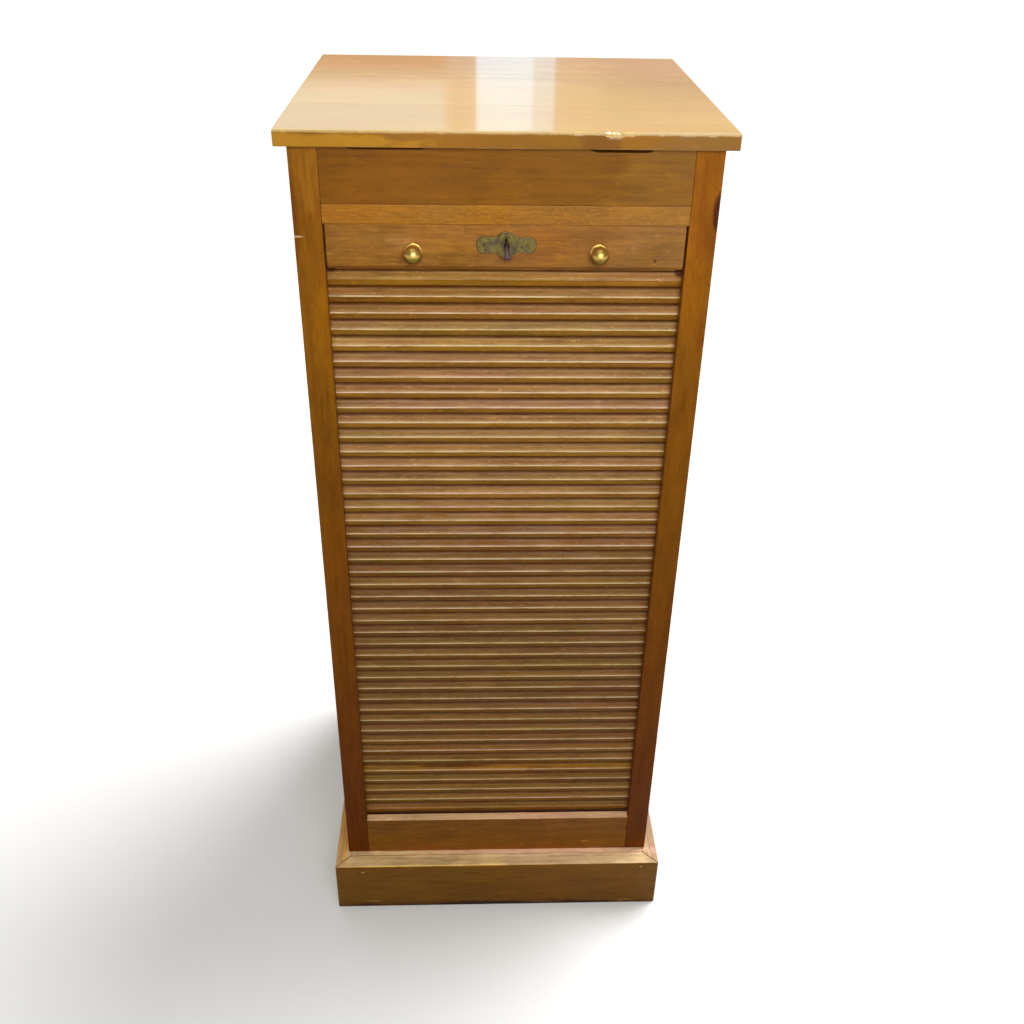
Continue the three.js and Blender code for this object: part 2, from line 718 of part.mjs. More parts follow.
// Lock case, open at the keyhole and at the slot for the lug
const roomX = lockHalf - lockWall;
const roomY = [lockFrontY + lockWall, leadRailBackY - lockWall];
piece('lock_case', cut(
  joined(
    block([-lockHalf, lockFrontY, lockBottomZ], [lockHalf, leadRailBackY, leadRailTopZ]),
    block([-flangeHalf, flangeFrontY, lockBottomZ], [flangeHalf, leadRailBackY, leadRailTopZ]),
  ),
  block([-roomX, roomY[0], lockBottomZ + lockWall], [roomX, roomY[1], leadRailTopZ - lockWall]),
  block(
    [lugInnerX - lugSlotGap, plateMiddleY - lugWidth / 2 - lugSlotGap, leadRailTopZ - lockWall - overrun],
    [
      lugInnerX + lugThickness + lugSlotGap,
      plateMiddleY + lugWidth / 2 + lugSlotGap,
      leadRailTopZ + overrun,
    ],
  ),
  keyhole(lockFrontY - overrun, roomY[0] + glueLine),
), brass);

// Bolt: a bar that slides sideways, with a finger for the lug's eye and a talon that the key's bit pushes
const boltY = [roomY[0] + letInGap, roomY[1] - letInGap];
const boltZ = [boltMiddleZ - boltHeight / 2, boltMiddleZ + boltHeight / 2];
const talonX = keyShaftRadius + boltTalonClear;
const shoulderX = talonX + boltTalonWidth;
const fingerHalf = boltFingerSize / 2;
piece('lock_bolt', joined(
  block([-boltTailLength, boltY[0], boltZ[0]], [shoulderX, boltY[1], boltZ[1]]),
  block(
    [shoulderX - boltTalonWidth, plateMiddleY - fingerHalf, boltMiddleZ - fingerHalf],
    [lugInnerX - boltTipClear, plateMiddleY + fingerHalf, boltMiddleZ + fingerHalf],
  ),
  block([talonX, boltY[0], keyZ - boltTalonDrop], [shoulderX, boltY[1], boltZ[0] + overrun]),
), brass);

// Key: its bow stands out in front, upright, and its bit hangs down inside the lock
const bowMiddleY = leadRailRecess - keyProjection + keyBowLength / 2;
const bowBackY = bowMiddleY + keyBowLength / 2;
const bow = new THREE.Shape();
bow.absellipse(bowMiddleY, keyZ, keyBowLength / 2, keyBowWidth / 2, 0, Math.PI * 2, false, 0);
const bowHole = new THREE.Path();
bowHole.absarc(bowMiddleY, keyZ, keyBowHoleRadius, 0, Math.PI * 2, true);
bow.holes.push(bowHole);
piece('key', joined(
  extrudedAlongX(bow, -keyBowThickness / 2, keyBowThickness / 2),
  aimed(rod(keyShaftRadius, bowBackY - keyCollarLength, roomY[1] - keyholeGap), 'back', 0, 0, keyZ),
  aimed(rod(keyCollarRadius, bowBackY, bowBackY + keyCollarLength), 'back', 0, 0, keyZ),
  block(
    [-keyBitThickness / 2, plateMiddleY - keyBitLength / 2, keyZ - keyBitReach],
    [keyBitThickness / 2, plateMiddleY + keyBitLength / 2, keyZ],
  ),
), steel);

export default cabinet;
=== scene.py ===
"""Looks for a drop-down tambour cabinet in oak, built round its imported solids."""
import math
import random

import bmesh
import bpy
from bpy.props import FloatProperty, FloatVectorProperty, IntProperty, PointerProperty
from mathutils import Matrix, Vector


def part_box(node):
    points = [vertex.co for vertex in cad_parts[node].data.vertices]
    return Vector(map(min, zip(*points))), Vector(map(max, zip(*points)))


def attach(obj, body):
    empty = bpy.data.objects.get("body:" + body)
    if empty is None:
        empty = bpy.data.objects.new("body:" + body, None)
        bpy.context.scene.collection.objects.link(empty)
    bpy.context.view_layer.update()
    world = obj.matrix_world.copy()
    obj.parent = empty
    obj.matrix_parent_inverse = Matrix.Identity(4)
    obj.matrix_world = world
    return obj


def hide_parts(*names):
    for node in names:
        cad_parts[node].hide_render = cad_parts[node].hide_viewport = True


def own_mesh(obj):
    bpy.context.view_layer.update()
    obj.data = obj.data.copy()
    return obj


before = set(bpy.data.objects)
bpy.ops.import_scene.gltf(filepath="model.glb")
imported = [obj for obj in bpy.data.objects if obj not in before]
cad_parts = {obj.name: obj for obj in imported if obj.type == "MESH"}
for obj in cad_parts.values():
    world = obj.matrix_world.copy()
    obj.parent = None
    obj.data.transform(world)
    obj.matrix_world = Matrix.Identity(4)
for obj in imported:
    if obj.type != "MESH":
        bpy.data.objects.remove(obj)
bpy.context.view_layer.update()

bl_info = {
    "name": "Drop-Down Tambour Cabinet",
    "version": (1, 0, 0),
    "blender": (4, 5, 0),
    "location": "3D View > Sidebar > Cabinet",
    "description": "Dresses the solids of an oak tambour cabinet: boards, slats, canvas, brass and steel",
    "category": "Add Mesh",
}

MM = 0.001
MERGE = 0.00001


def linear(code):
    """An sRGB hex colour as linear red, green and blue."""
    parts = [int(code[start:start + 2], 16) / 255 for start in (1, 3, 5)]
    return tuple(p / 12.92 if p <= 0.04045 else ((p + 0.055) / 1.055) ** 2.4 for p in parts)


def colour_property(name, code, description):
    return FloatVectorProperty(
        name=name, description=description, subtype="COLOR", size=3, min=0, max=1, default=linear(code))


def length_property(name, millimetres, description):
    return FloatProperty(
        name=name, description=description, subtype="DISTANCE", unit="LENGTH", min=0,
        default=millimetres * MM, precision=4)


class CabinetColours(bpy.types.PropertyGroup):
    """Colours of the cabinet's finishes."""
    top_oak: colour_property("Top Oak", "#A66D1A", "Polish of the top board's edges")
    faded_oak: colour_property("Faded Oak", "#D9A95B", "Sun-faded polish on the top board's face")
    frame_oak: colour_property("Frame Oak", "#9A5C10", "Polish of the stiles and the side frames")
    frieze_oak: colour_property("Frieze Oak", "#895708", "Polish of the frieze")
    base_oak: colour_property("Bottom Rail Oak", "#A2671E", "Polish of the bottom rail")
    strike_oak: colour_property("Strike Rail Oak", "#AE751D", "Paler polish of the strike rail")
    lead_oak: colour_property("Lead Rail Oak", "#AE742D", "Handled polish of the lead rail")
    slat_oak: colour_property("Slat Oak", "#A06E22", "Dry, dusty polish of the slats")
    # The ridges' pale line: bare wood with a painted highlight
    ridge_oak: colour_property("Ridge Oak", "#F7DCB8", "Bare wood along the slats' ridges")
    plinth_oak: colour_property("Plinth Oak", "#A16917", "Dark polish of the plinth")
    raw_oak: colour_property("Raw Oak", "#E6C792", "Bare wood where an arris has lost its polish")
    # A painted sheen on the right side of the frieze and the rails
    painted_sheen: colour_property("Haze", "#B7A084", "Dull bloom on the polish")
    dust: colour_property("Dust", "#BE9668", "Dust that lies on the slats and the frames")
    # Sun-faded polish with painted light on the upper faces of the plinth and the bottom rail
    ledge: colour_property("Faded Ledge", "#F3D0A6", "Sun-faded polish on the plinth and the bottom rail")
    inner_wood: colour_property("Inner Wood", "#A98455", "Unpolished wood inside and behind")
    canvas: colour_property("Canvas", "#B5A887", "Linen glued behind the slats")
    brass: colour_property("Brass", "#E6C26A", "Polished brass of the knobs")
    dull_brass: colour_property("Dull Brass", "#B89A4A", "Patches on the knobs")
    # A painted olive shade on the knobs' lower half
    brass_film: colour_property("Brass Film", "#5F5218", "Olive film under the knobs")
    tarnish: colour_property("Tarnish", "#7D703A", "Olive tarnish of the key plate")
    patina: colour_property("Patina", "#564840", "Purple-grey patches on the key plate")
    cast_brass: colour_property("Cast Brass", "#9A8146", "Brass of the lock and the pins")
    brown_brass: colour_property("Brown Brass", "#4A3A1C", "Brown patches on the lock and the pins")
    steel: colour_property("Steel", "#66545A", "Dull steel of the key and the screws")
    rust: colour_property("Rust", "#6A4E50", "Thin rust on the steel")
    # A painted black shade on what faces up on the steel
    soot: colour_property("Soot", "#2A2220", "Black film on the steel")
    floor: colour_property("Floor", "#F4F4F3", "Pale floor of the studio")


class CabinetSizes(bpy.types.PropertyGroup):
    """Sizes that the solids leave open."""
    arris: length_property("Arris", 0.9, "Rounding of the boards' edges")
    inner_arris: length_property("Inner Arris", 0.5, "Rounding of edges inside the carcase")
    ring_spacing: length_property("Ring Spacing", 5.5, "Distance between two growth rings")
    slat_pitch: length_property("Slat Pitch", 20.04, "Distance from one slat to the next")
    slat_gap: length_property("Slat Gap", 0.3, "Hairline between two slats")
    slat_wave: length_property("Slat Wave", 0.8, "How far a ridge wanders up or down")
    slat_seed: IntProperty(name="Slat Seed", description="Order of the slats' tones", default=7, min=0)
    chip_depth: length_property("Chip Depth", 2.4, "Depth of the worst chip in the top's front arris")


# Node graphs

MATH = "ShaderNodeMath"
VECTOR = "ShaderNodeVectorMath"
RANGE = "ShaderNodeMapRange"
MIX = "ShaderNodeMix"
NOISE = "ShaderNodeTexNoise"
AXES = "ShaderNodeSeparateXYZ"
ATTRIBUTE = "ShaderNodeAttribute"
SMOOTH = {"interpolation_type": "SMOOTHSTEP"}
COLOURS = {"data_type": "RGBA"}

# Places of a Mix node's two colours among its inputs, and of the mixed colour among its outputs
FIRST, SECOND, MIXED = 6, 7, 2


def add(tree, kind, inputs=None, output=0, **settings):
    """Adds a node with its settings, links or sets its inputs, and returns one of its outputs."""
    node = tree.nodes.new(kind)
    for name, value in settings.items():
        setattr(node, name, value)
    for key, value in (inputs or {}).items():
        socket = node.inputs[key]
        if isinstance(value, bpy.types.NodeSocket):
            tree.links.new(value, socket)
        elif socket.type == "RGBA":
            socket.default_value = (*value[:3], 1)
        else:
            socket.default_value = value
    return node.outputs[output] if node.outputs else node


def new_material(name):
    material = bpy.data.materials.new(name)
    material.use_nodes = True
    material.node_tree.nodes.clear()
    return material, material.node_tree


def shade(colour, factors):
    return tuple(min(1, channel * factor) for channel, factor in zip(colour, factors))


def tinted(tree, wash, share, first, second):
    """A colour multiplied by another, which goes from the first to the second with the share."""
    tint = add(tree, MIX, {0: share, FIRST: first, SECOND: second}, MIXED, **COLOURS)
    return add(tree, VECTOR, {0: wash, 1: tint}, operation="MULTIPLY")


def facing_up(tree, low, high, most=1):
    """How far a face looks up: 0 at the low limit of its normal's Z, the most at the high one."""
    facing = add(tree, "ShaderNodeNewGeometry", None, "Normal")
    upward = add(tree, AXES, {0: facing}, "Z")
    return add(tree, RANGE, {"Value": upward, "From Min": low, "From Max": high, "To Max": most}, **SMOOTH)


def growth_rings(tree, place, cells, ring):
    """Late wood, from 0 to 1, in rings round a trunk that wanders, so they draw long flames on flat faces."""
    wander = add(tree, NOISE, {"Vector": cells, "Scale": 6, "Detail": 2, "Roughness": 0.55}, "Color")
    centred = add(tree, VECTOR, {0: wander, 1: (0.5, 0.5, 0.5)}, operation="SUBTRACT")
    bent = add(tree, VECTOR, {0: centred, 1: (0, 0.05, 0.05), 2: place}, operation="MULTIPLY_ADD")
    across = add(tree, VECTOR, {0: bent, 1: (0, 1, 1)}, operation="MULTIPLY")
    radius = add(tree, VECTOR, {0: across}, "Value", operation="LENGTH")
    number = add(tree, MATH, {0: radius, 1: ring}, operation="DIVIDE")
    turn = add(tree, MATH, {0: number}, operation="FRACT")
    rise = add(tree, RANGE, {"Value": turn, "From Max": 0.35}, **SMOOTH)
    fall = add(tree, RANGE, {"Value": turn, "From Min": 0.45, "To Min": 1, "To Max": 0}, **SMOOTH)
    return add(tree, MATH, {0: rise, 1: fall}, operation="MULTIPLY")


def worn_edges(tree, rub, wear):
    """Where the worn attribute and a rubbed pattern together have taken the polish off, from 0 to 1."""
    mask = add(tree, ATTRIBUTE, None, "Fac", attribute_name="worn")
    most = add(tree, MATH, {0: mask, 1: 0.55}, operation="MULTIPLY")
    both = add(tree, MATH, {0: rub, 1: 0.6, 2: most}, operation="MULTIPLY_ADD")
    return add(tree, RANGE, {"Value": both, "From Min": 0.55, "From Max": 0.82, "To Max": wear}, **SMOOTH)


def ridge_wear_and_highlight(tree, cells):
    """The pale line along a slat's ridge, bare wood with a painted highlight, in broken stretches, from 0 to
    1.
    """
    ridge = add(tree, ATTRIBUTE, None, "Fac", attribute_name="ridge")
    gaps = add(tree, NOISE, {"Vector": cells, "Scale": 90, "Detail": 5, "Roughness": 0.75})
    broken = add(tree, RANGE, {"Value": gaps, "From Min": 0.32, "From Max": 0.56, "To Min": 0.45}, **SMOOTH)
    ragged = add(tree, MATH, {0: gaps, 1: 0.7, 2: ridge}, operation="MULTIPLY_ADD")
    line = add(tree, RANGE, {"Value": ragged, "From Min": 0.73, "From Max": 1.1}, **SMOOTH)
    return add(tree, MATH, {0: line, 1: broken}, operation="MULTIPLY")


# The axes that fronts and tops face along
FRONT, TOP = 1, 2


def marks_on(axis, level, reach, *rows):
    """Marks on fronts or on tops, at a level in millimetres and as far from it as they reach. Each row has
    the mark's middle and half sizes in millimetres, then what it multiplies red, green and blue by."""
    marks = []
    for across, up, half_across, half_up, *factors in rows:
        middle = [across, up]
        middle.insert(axis, level)
        half = [half_across, half_up]
        half.insert(axis, reach)
        marks.append(([value * MM for value in middle], [value * MM for value in half], factors))
    return marks


FRAME_MARKS = marks_on(
    FRONT, -205, 30,
    # A scorch on the right stile's outer edge, and its grey rim
    (232.5, 1090, 8, 22, 0.3, 0.2, 0.5),
    (229, 1070, 12, 30, 0.82, 0.78, 0.9),
    # A pale scratch on the left stile's outer edge, and the dark edge above it
    (-228, 1063, 7, 1.4, 3.4, 7.2, 70),
    (-228.5, 1082, 4, 50, 0.72, 0.62, 0.6),
    # Paler places on both stiles
    (-210, 1135, 20, 40, 1.1, 1.22, 1.7),
    (-200, 930, 20, 70, 1.1, 1.12, 0.8),
    (205, 990, 15, 50, 1.1, 1.1, 0.9))
TOP_MARKS = [
    # The left part of the front edge is paler
    *marks_on(FRONT, -217, 12, (-190, 1164, 95, 10.5, 1.6, 1.8, 1.3)),
    # A dark knot, a duller stretch left of it, and a painted sheen that greys the right end
    *marks_on(
        FRONT, -217, 8,
        (95, 1166, 22, 20, 0.7, 0.64, 0.68),
        (20, 1166, 60, 20, 0.9, 0.9, 0.72),
        (200, 1166, 50, 20, 0.88, 1.02, 2.6))]
TOP_SHADES = marks_on(
    TOP, 1178, 30,
    # Painted reflection of the room: the back is darker, above all at the left, and the right side is duller
    (-170, 250, 220, 140, 0.74, 0.56, 0.4),
    (200, 220, 100, 160, 0.9, 0.78, 0.9),
    (0, 200, 600, 200, 0.9, 0.87, 0.84),
    (240, 80, 100, 130, 0.94, 0.86, 0.98),
    # The front right corner is paler
    (170, -150, 100, 70, 1.01, 1.08, 1.25))
FRIEZE_MARKS = marks_on(
    FRONT, -205, 30,
    # A painted sheen at the right end, and handling marks in the middle
    (180, 1120, 60, 50, 1.18, 1.32, 2),
    (0, 1120, 30, 20, 1.08, 1.1, 1.2))
RAIL_MARKS = [
    *marks_on(
        FRONT, -203, 30,
        # A pale halo above the left knob, and a darker right end with a painted sheen round its knob
        (-118, 1057, 17, 12, 1.12, 1.2, 1.7),
        (120, 1050, 100, 30, 0.88, 0.87, 0.76),
        (135, 1062, 30, 13, 1.1, 1.14, 1.4),
        # A dark speck, two orange patches beside the key plate, and painted shade along the lower edge
        (165, 1037.5, 2.2, 2, 0.45, 0.4, 0.4),
        (45, 1050, 30, 20, 1.08, 0.98, 0.8),
        (-62, 1045, 30, 16, 1.04, 1.08, 0.85),
        (0, 1027.8, 9000, 2.6, 0.62, 0.5, 0.16)),
    # Painted shadow: black notches in the gaps at the ends of the lip
    *marks_on(
        FRONT, -200, 50,
        (-196, 1022.5, 8, 3, 0.05, 0.04, 0.06),
        (197, 1022.5, 6, 4, 0.06, 0.05, 0.09))]
SLAT_MARKS = marks_on(
    FRONT, -200, 100,
    # Greyer below the middle, warmer near the foot, paler above, and golden at the very top
    (0, 500, 500, 170, 0.85, 0.84, 1.08),
    (0, 220, 500, 160, 1.1, 1.07, 1.02),
    (0, 860, 500, 200, 1.16, 1.24, 1.75),
    (0, 1000, 500, 40, 0.96, 0.9, 0.72),
    (-80, 1000, 140, 30, 0.95, 0.92, 0.72),
    # A slat worn pale in the upper part, and a low one that is golden, with a dark stain
    (0, 853, 190, 7, 1.12, 1.12, 1.35),
    (0, 253, 300, 8, 1.2, 1.12, 0.62),
    (-70, 256, 50, 2.5, 0.42, 0.28, 0.3),
    # Painted shadow: black notches at the ends of the first slat's top, and the dark slit above the bottom
    # rail
    (-196, 1020.5, 9, 2.4, 0.06, 0.04, 0.06),
    (197, 1019.5, 6, 4.5, 0.08, 0.05, 0.1),
    (20, 157.7, 400, 3.7, 0.03, 0.02, 0.02))
BASE_MARKS = [
    # Painted light makes the ledge paler
    *marks_on(FRONT, -200, 100, (20, 158.8, 260, 1.8, 1.4, 1.27, 1.45)),
    # Two filled nail holes
    *marks_on(
        FRONT, -205, 30,
        (135.5, 107.9, 5, 1.4, 1.7, 1.9, 2.6),
        (-70, 138.3, 6, 1.2, 1.5, 1.6, 2))]
PLINTH_MARKS = [
    *marks_on(
        FRONT, -237, 30,
        # Two nails, each a pale head in a dark hollow
        (-208, 77.7, 6.5, 2.8, 0.62, 0.6, 0.7),
        (-206.5, 78.2, 2.8, 1.4, 4.5, 7, 22),
        (221.6, 81.8, 5, 3.2, 0.62, 0.6, 0.7),
        (221.6, 82.5, 2.6, 1.3, 4.5, 7, 22),
        # Three pale nicks near the foot
        (50, 6.5, 30, 1.2, 2.2, 2.6, 7),
        (-190, 12, 12, 1.3, 2, 2.4, 6),
        (200, 7, 14, 1.3, 2, 2.4, 6),
        # The foot's dark edge, darkest in three places
        (-20, 0, 240, 10, 0.5, 0.42, 0.6),
        (0, 0, 300, 3, 0.5, 0.45, 0.8),
        (-30, 3, 90, 5, 0.3, 0.24, 0.45),
        (140, 2, 50, 4, 0.3, 0.24, 0.45),
        (-200, 4, 20, 4, 0.35, 0.26, 0.4)),
    *marks_on(
        TOP, 91, 4,
        # The front's upper face: yellower left, pale beside the carcase and at the right, duller at its end
        (-130, -225, 130, 20, 1, 1.02, 0.86),
        (60, -210, 260, 8, 1.35, 1.32, 1.5),
        (100, -222, 160, 20, 1.15, 1.13, 1.15),
        (230, -220, 35, 20, 0.8, 0.77, 0.78),
        # The sides' upper faces are darker, and golden at the left
        (242, -100, 14, 140, 0.6, 0.55, 0.62),
        (-242, -100, 14, 140, 0.92, 0.72, 0.36)),
    # A pale stretch of the front's upper arris
    *marks_on(FRONT, -235.2, 2.5, (-100, 90.8, 170, 2.2, 1.5, 1.5, 1.1))]


def marked(tree, wash, spot, ragged, marks, soft=0.3):
    """Lays soft stains and pale scuffs with ragged outlines over a colour."""
    for middle, half, factors in marks:
        away = add(tree, VECTOR, {0: spot, 1: middle}, operation="SUBTRACT")
        away = add(tree, VECTOR, {0: away, 1: half}, operation="DIVIDE")
        reach = add(tree, VECTOR, {0: away}, "Value", operation="LENGTH")
        edge = add(tree, MATH, {0: reach, 1: ragged}, operation="ADD")
        share = add(tree, RANGE, {"Value": edge, "From Min": 1.1 + soft, "From Max": 1.1 - soft}, **SMOOTH)
        wash = tinted(tree, wash, share, (1, 1, 1), factors)
    return wash


def wood(name, colour, bare_and_highlight_colour, ring, figure=0.5, streaks=0.5, pores=0.5, flecks=0.2, patches=0.35, mottle=0.5,
         contrast=1.0, gloss=0.2, satin=0.42, wear=0.6, coat=0.0, facing_colour=None, film_share=0.0,
         film_from=0.5, film_drift=0.2, foot=(1, 1, 1), head=(1, 1, 1), variety=0.35, painted_sheen=(0, 0, 0),
         sheen_share=0.0, fleck_scale=190, fleck_from=0.62, dirt_and_shade_tint=(0.26, 0.18, 0.08), ridges=False,
         marks=(), shades=()):
    """Oak whose figure runs through the solid: growth rings, streaks, open pores, silvery ray flecks and
    worn arrises. It can also paint light and shade: a sheen on the right, a falloff of light down the
    height, and on the slats highlights along the ridges and shade in the quirks. The grain attribute places
    each board in its own log, in metres."""
    material, tree = new_material(name)
    place = add(tree, ATTRIBUTE, None, "Vector", attribute_name="grain")
    long_cells, short_cells, cloud_cells = (
        add(tree, VECTOR, {0: place, 1: (1 / stretch, 1, 1)}, operation="MULTIPLY")
        for stretch in (40, 12, 3.5))
    rings = growth_rings(tree, place, cloud_cells, ring)

    # Scale, detail and roughness. Streaks are about 3 mm wide. The dots that become pores are 0.9 mm wide,
    # coarser than real ones, so that they show
    streak, fibre, dots, blotch, rub, dashes = (
        add(tree, NOISE, {"Vector": cells, "Scale": scale, "Detail": detail, "Roughness": rough})
        for cells, scale, detail, rough in (
            (long_cells, 330, 3, 0.62), (short_cells, 620, 3, 0.65), (short_cells, 1150, 1, 0.5),
            (cloud_cells, 62, 4, 0.68), (cloud_cells, 90, 3, 0.7), (cloud_cells, fleck_scale, 2, 0.5)))
    pore = add(tree, RANGE, {"Value": dots, "From Min": 0.60, "From Max": 0.72}, **SMOOTH)
    clouds = add(tree, NOISE, {"Vector": cloud_cells, "Scale": 9, "Detail": 3, "Roughness": 0.6}, "Color")
    cloud = add(tree, AXES, {0: clouds}, "X")
    warmth = add(tree, AXES, {0: clouds}, "Y")

    dark = add(tree, MATH, {0: rings, 1: figure}, operation="MULTIPLY")
    for value, low, high, share in (
            (streak, 0.35, 0.7, streaks * 0.6), (fibre, 0.35, 0.7, streaks * 0.7),
            (blotch, 0.32, 0.7, mottle), (cloud, 0.3, 0.7, patches), (pore, 0, 1, pores)):
        part = add(tree, RANGE, {"Value": value, "From Min": low, "From Max": high, "To Max": share})
        dark = add(tree, MATH, {0: dark, 1: part}, operation="ADD")
    depth = add(tree, RANGE, {"Value": dark, "From Min": 0.25, "From Max": 1.75})
    pale = [1 + contrast * share for share in (0.30, 0.32, 0.34)]
    deep = [1 - contrast * share for share in (0.52, 0.60, 0.68)]
    fleck = add(tree, RANGE, {
        "Value": dashes, "From Min": fleck_from, "From Max": fleck_from + 0.1, "To Max": flecks}, **SMOOTH)
    wash = add(tree, MIX, {0: depth, FIRST: pale, SECOND: deep}, MIXED, **COLOURS)
    wash = add(tree, MIX, {0: fleck, FIRST: wash, SECOND: (1.7, 1.75, 1.7)}, MIXED, **COLOURS)

    # The stain is redder in some places and more olive in others
    warm = add(tree, RANGE, {"Value": warmth, "From Min": 0.35, "From Max": 0.65})
    wash = tinted(tree, wash, warm, (1.05, 0.98, 1.0), (0.95, 1.03, 0.86))

    # Sun and dust change the colour of what faces up; on the bottom rail and the plinth it is also painted
    # light
    film = facing_up(tree, film_from, film_from + 0.4)
    drift = add(tree, RANGE, {
        "Value": rub, "From Min": 0.3, "From Max": 0.7, "To Min": film_share * (1 - film_drift),
        "To Max": film_share})
    share = add(tree, MATH, {0: film, 1: drift}, operation="MULTIPLY")
    wash = tinted(tree, wash, share, colour, facing_colour or colour)

    # Each board, or slat, takes the stain a little differently: purple-brown to golden, dark to pale
    tone = add(tree, ATTRIBUTE, None, "Fac", attribute_name="tone")
    turn = add(tree, MATH, {0: tone, 1: 7.3}, operation="MULTIPLY")
    turn = add(tree, MATH, {0: turn}, operation="FRACT")
    hue = add(tree, MIX, {0: turn, FIRST: (0.98, 0.92, 0.94), SECOND: (1.06, 1.07, 0.83)}, MIXED, **COLOURS)
    stain = tinted(tree, hue, tone, (0.82, 0.80, 0.84), (1.14, 1.15, 1.12))
    wash = tinted(tree, wash, variety, (1, 1, 1), stain)

    # A painted falloff of light: paler towards the top, and a darker red-brown towards the floor
    spot = add(tree, "ShaderNodeTexCoord", None, "Object")
    height = add(tree, AXES, {0: spot}, "Z")
    painted_upper_light = add(tree, RANGE, {"Value": height, "From Min": 0.1, "From Max": 1.05})
    wash = tinted(tree, wash, painted_upper_light, foot, head)
    if sheen_share:
        # A painted sheen lies on the right side, which is nearer the light
        sideways = add(tree, AXES, {0: spot}, "X")
        near = add(tree, RANGE, {"Value": sideways, "From Min": -0.15, "From Max": 0.22, "To Max": 0.55})
        mist = add(tree, NOISE, {"Vector": spot, "Scale": 12, "Detail": 4, "Roughness": 0.65})
        sheen_mask = add(tree, MATH, {0: mist, 1: near}, operation="ADD")
        sheen_mask = add(tree, RANGE, {"Value": sheen_mask, "From Min": 0.5, "From Max": 1.1, "To Max": sheen_share})
        wash = add(tree, MIX, {0: sheen_mask, FIRST: wash, SECOND: painted_sheen}, MIXED, **COLOURS)
    if marks or shades:
        ragged = add(tree, RANGE, {
            "Value": blotch, "From Min": 0.3, "From Max": 0.7, "To Min": -0.3, "To Max": 0.5})
        wash = marked(tree, wash, spot, ragged, marks)
        wash = marked(tree, wash, spot, ragged, shades, soft=0.8)

    worn = worn_edges(tree, rub, wear)
    # On the slats, the ridge's pale line is bare wood with a painted highlight
    if ridges:
        worn = add(tree, MATH, {0: worn, 1: ridge_wear_and_highlight(tree, cloud_cells)}, operation="MAXIMUM")
    bare_and_highlight = add(tree, MIX, {0: warm, FIRST: bare_and_highlight_colour, SECOND: shade(bare_and_highlight_colour, (0.95, 0.93, 0.6))}, MIXED, **COLOURS)
    # Dark joints and dirt, and on the slats painted shade in the quirks and near the ends
    grime = add(tree, ATTRIBUTE, None, "Fac", attribute_name="grime")
    darkened = add(tree, RANGE, {"Value": rub, "From Min": 0.2, "From Max": 0.75, "To Min": 0.6})
    darkened = add(tree, MATH, {0: grime, 1: darkened}, operation="MULTIPLY")
    wash = add(tree, MIX, {0: worn, FIRST: wash, SECOND: bare_and_highlight}, MIXED, **COLOURS)
    wash = add(tree, MIX, {0: darkened, FIRST: wash, SECOND: shade(colour, dirt_and_shade_tint)}, MIXED, **COLOURS)

    matt = add(tree, RANGE, {
        "Value": streak, "From Min": 0.3, "From Max": 0.75, "To Min": satin - 0.06 * contrast,
        "To Max": satin + 0.12 * contrast})
    matt = add(tree, MATH, {0: worn, 1: 0.2, 2: matt}, operation="MULTIPLY_ADD")
    relief = add(tree, MATH, {0: fibre, 1: 0.4}, operation="MULTIPLY")
    relief = add(tree, MATH, {0: relief, 1: pore}, operation="SUBTRACT")
    relief = add(tree, MATH, {0: rings, 1: -0.4, 2: relief}, operation="MULTIPLY_ADD")
    bump = add(tree, "ShaderNodeBump", {"Strength": 0.35, "Distance": 0.12 * MM, "Height": relief})
    shader = {"Base Color": wash, "Roughness": matt, "Normal": bump, "Specular IOR Level": gloss}
    if coat:
        # The polish is thickest on what faces up
        polish = add(tree, RANGE, {"Value": film, "To Min": coat * 0.15, "To Max": coat})
        shader.update({"Coat Weight": polish, "Coat Roughness": 0.07, "Coat IOR": 1.5})
    surface = add(tree, "ShaderNodeBsdfPrincipled", shader)
    add(tree, "ShaderNodeOutputMaterial", {"Surface": surface})
    return material


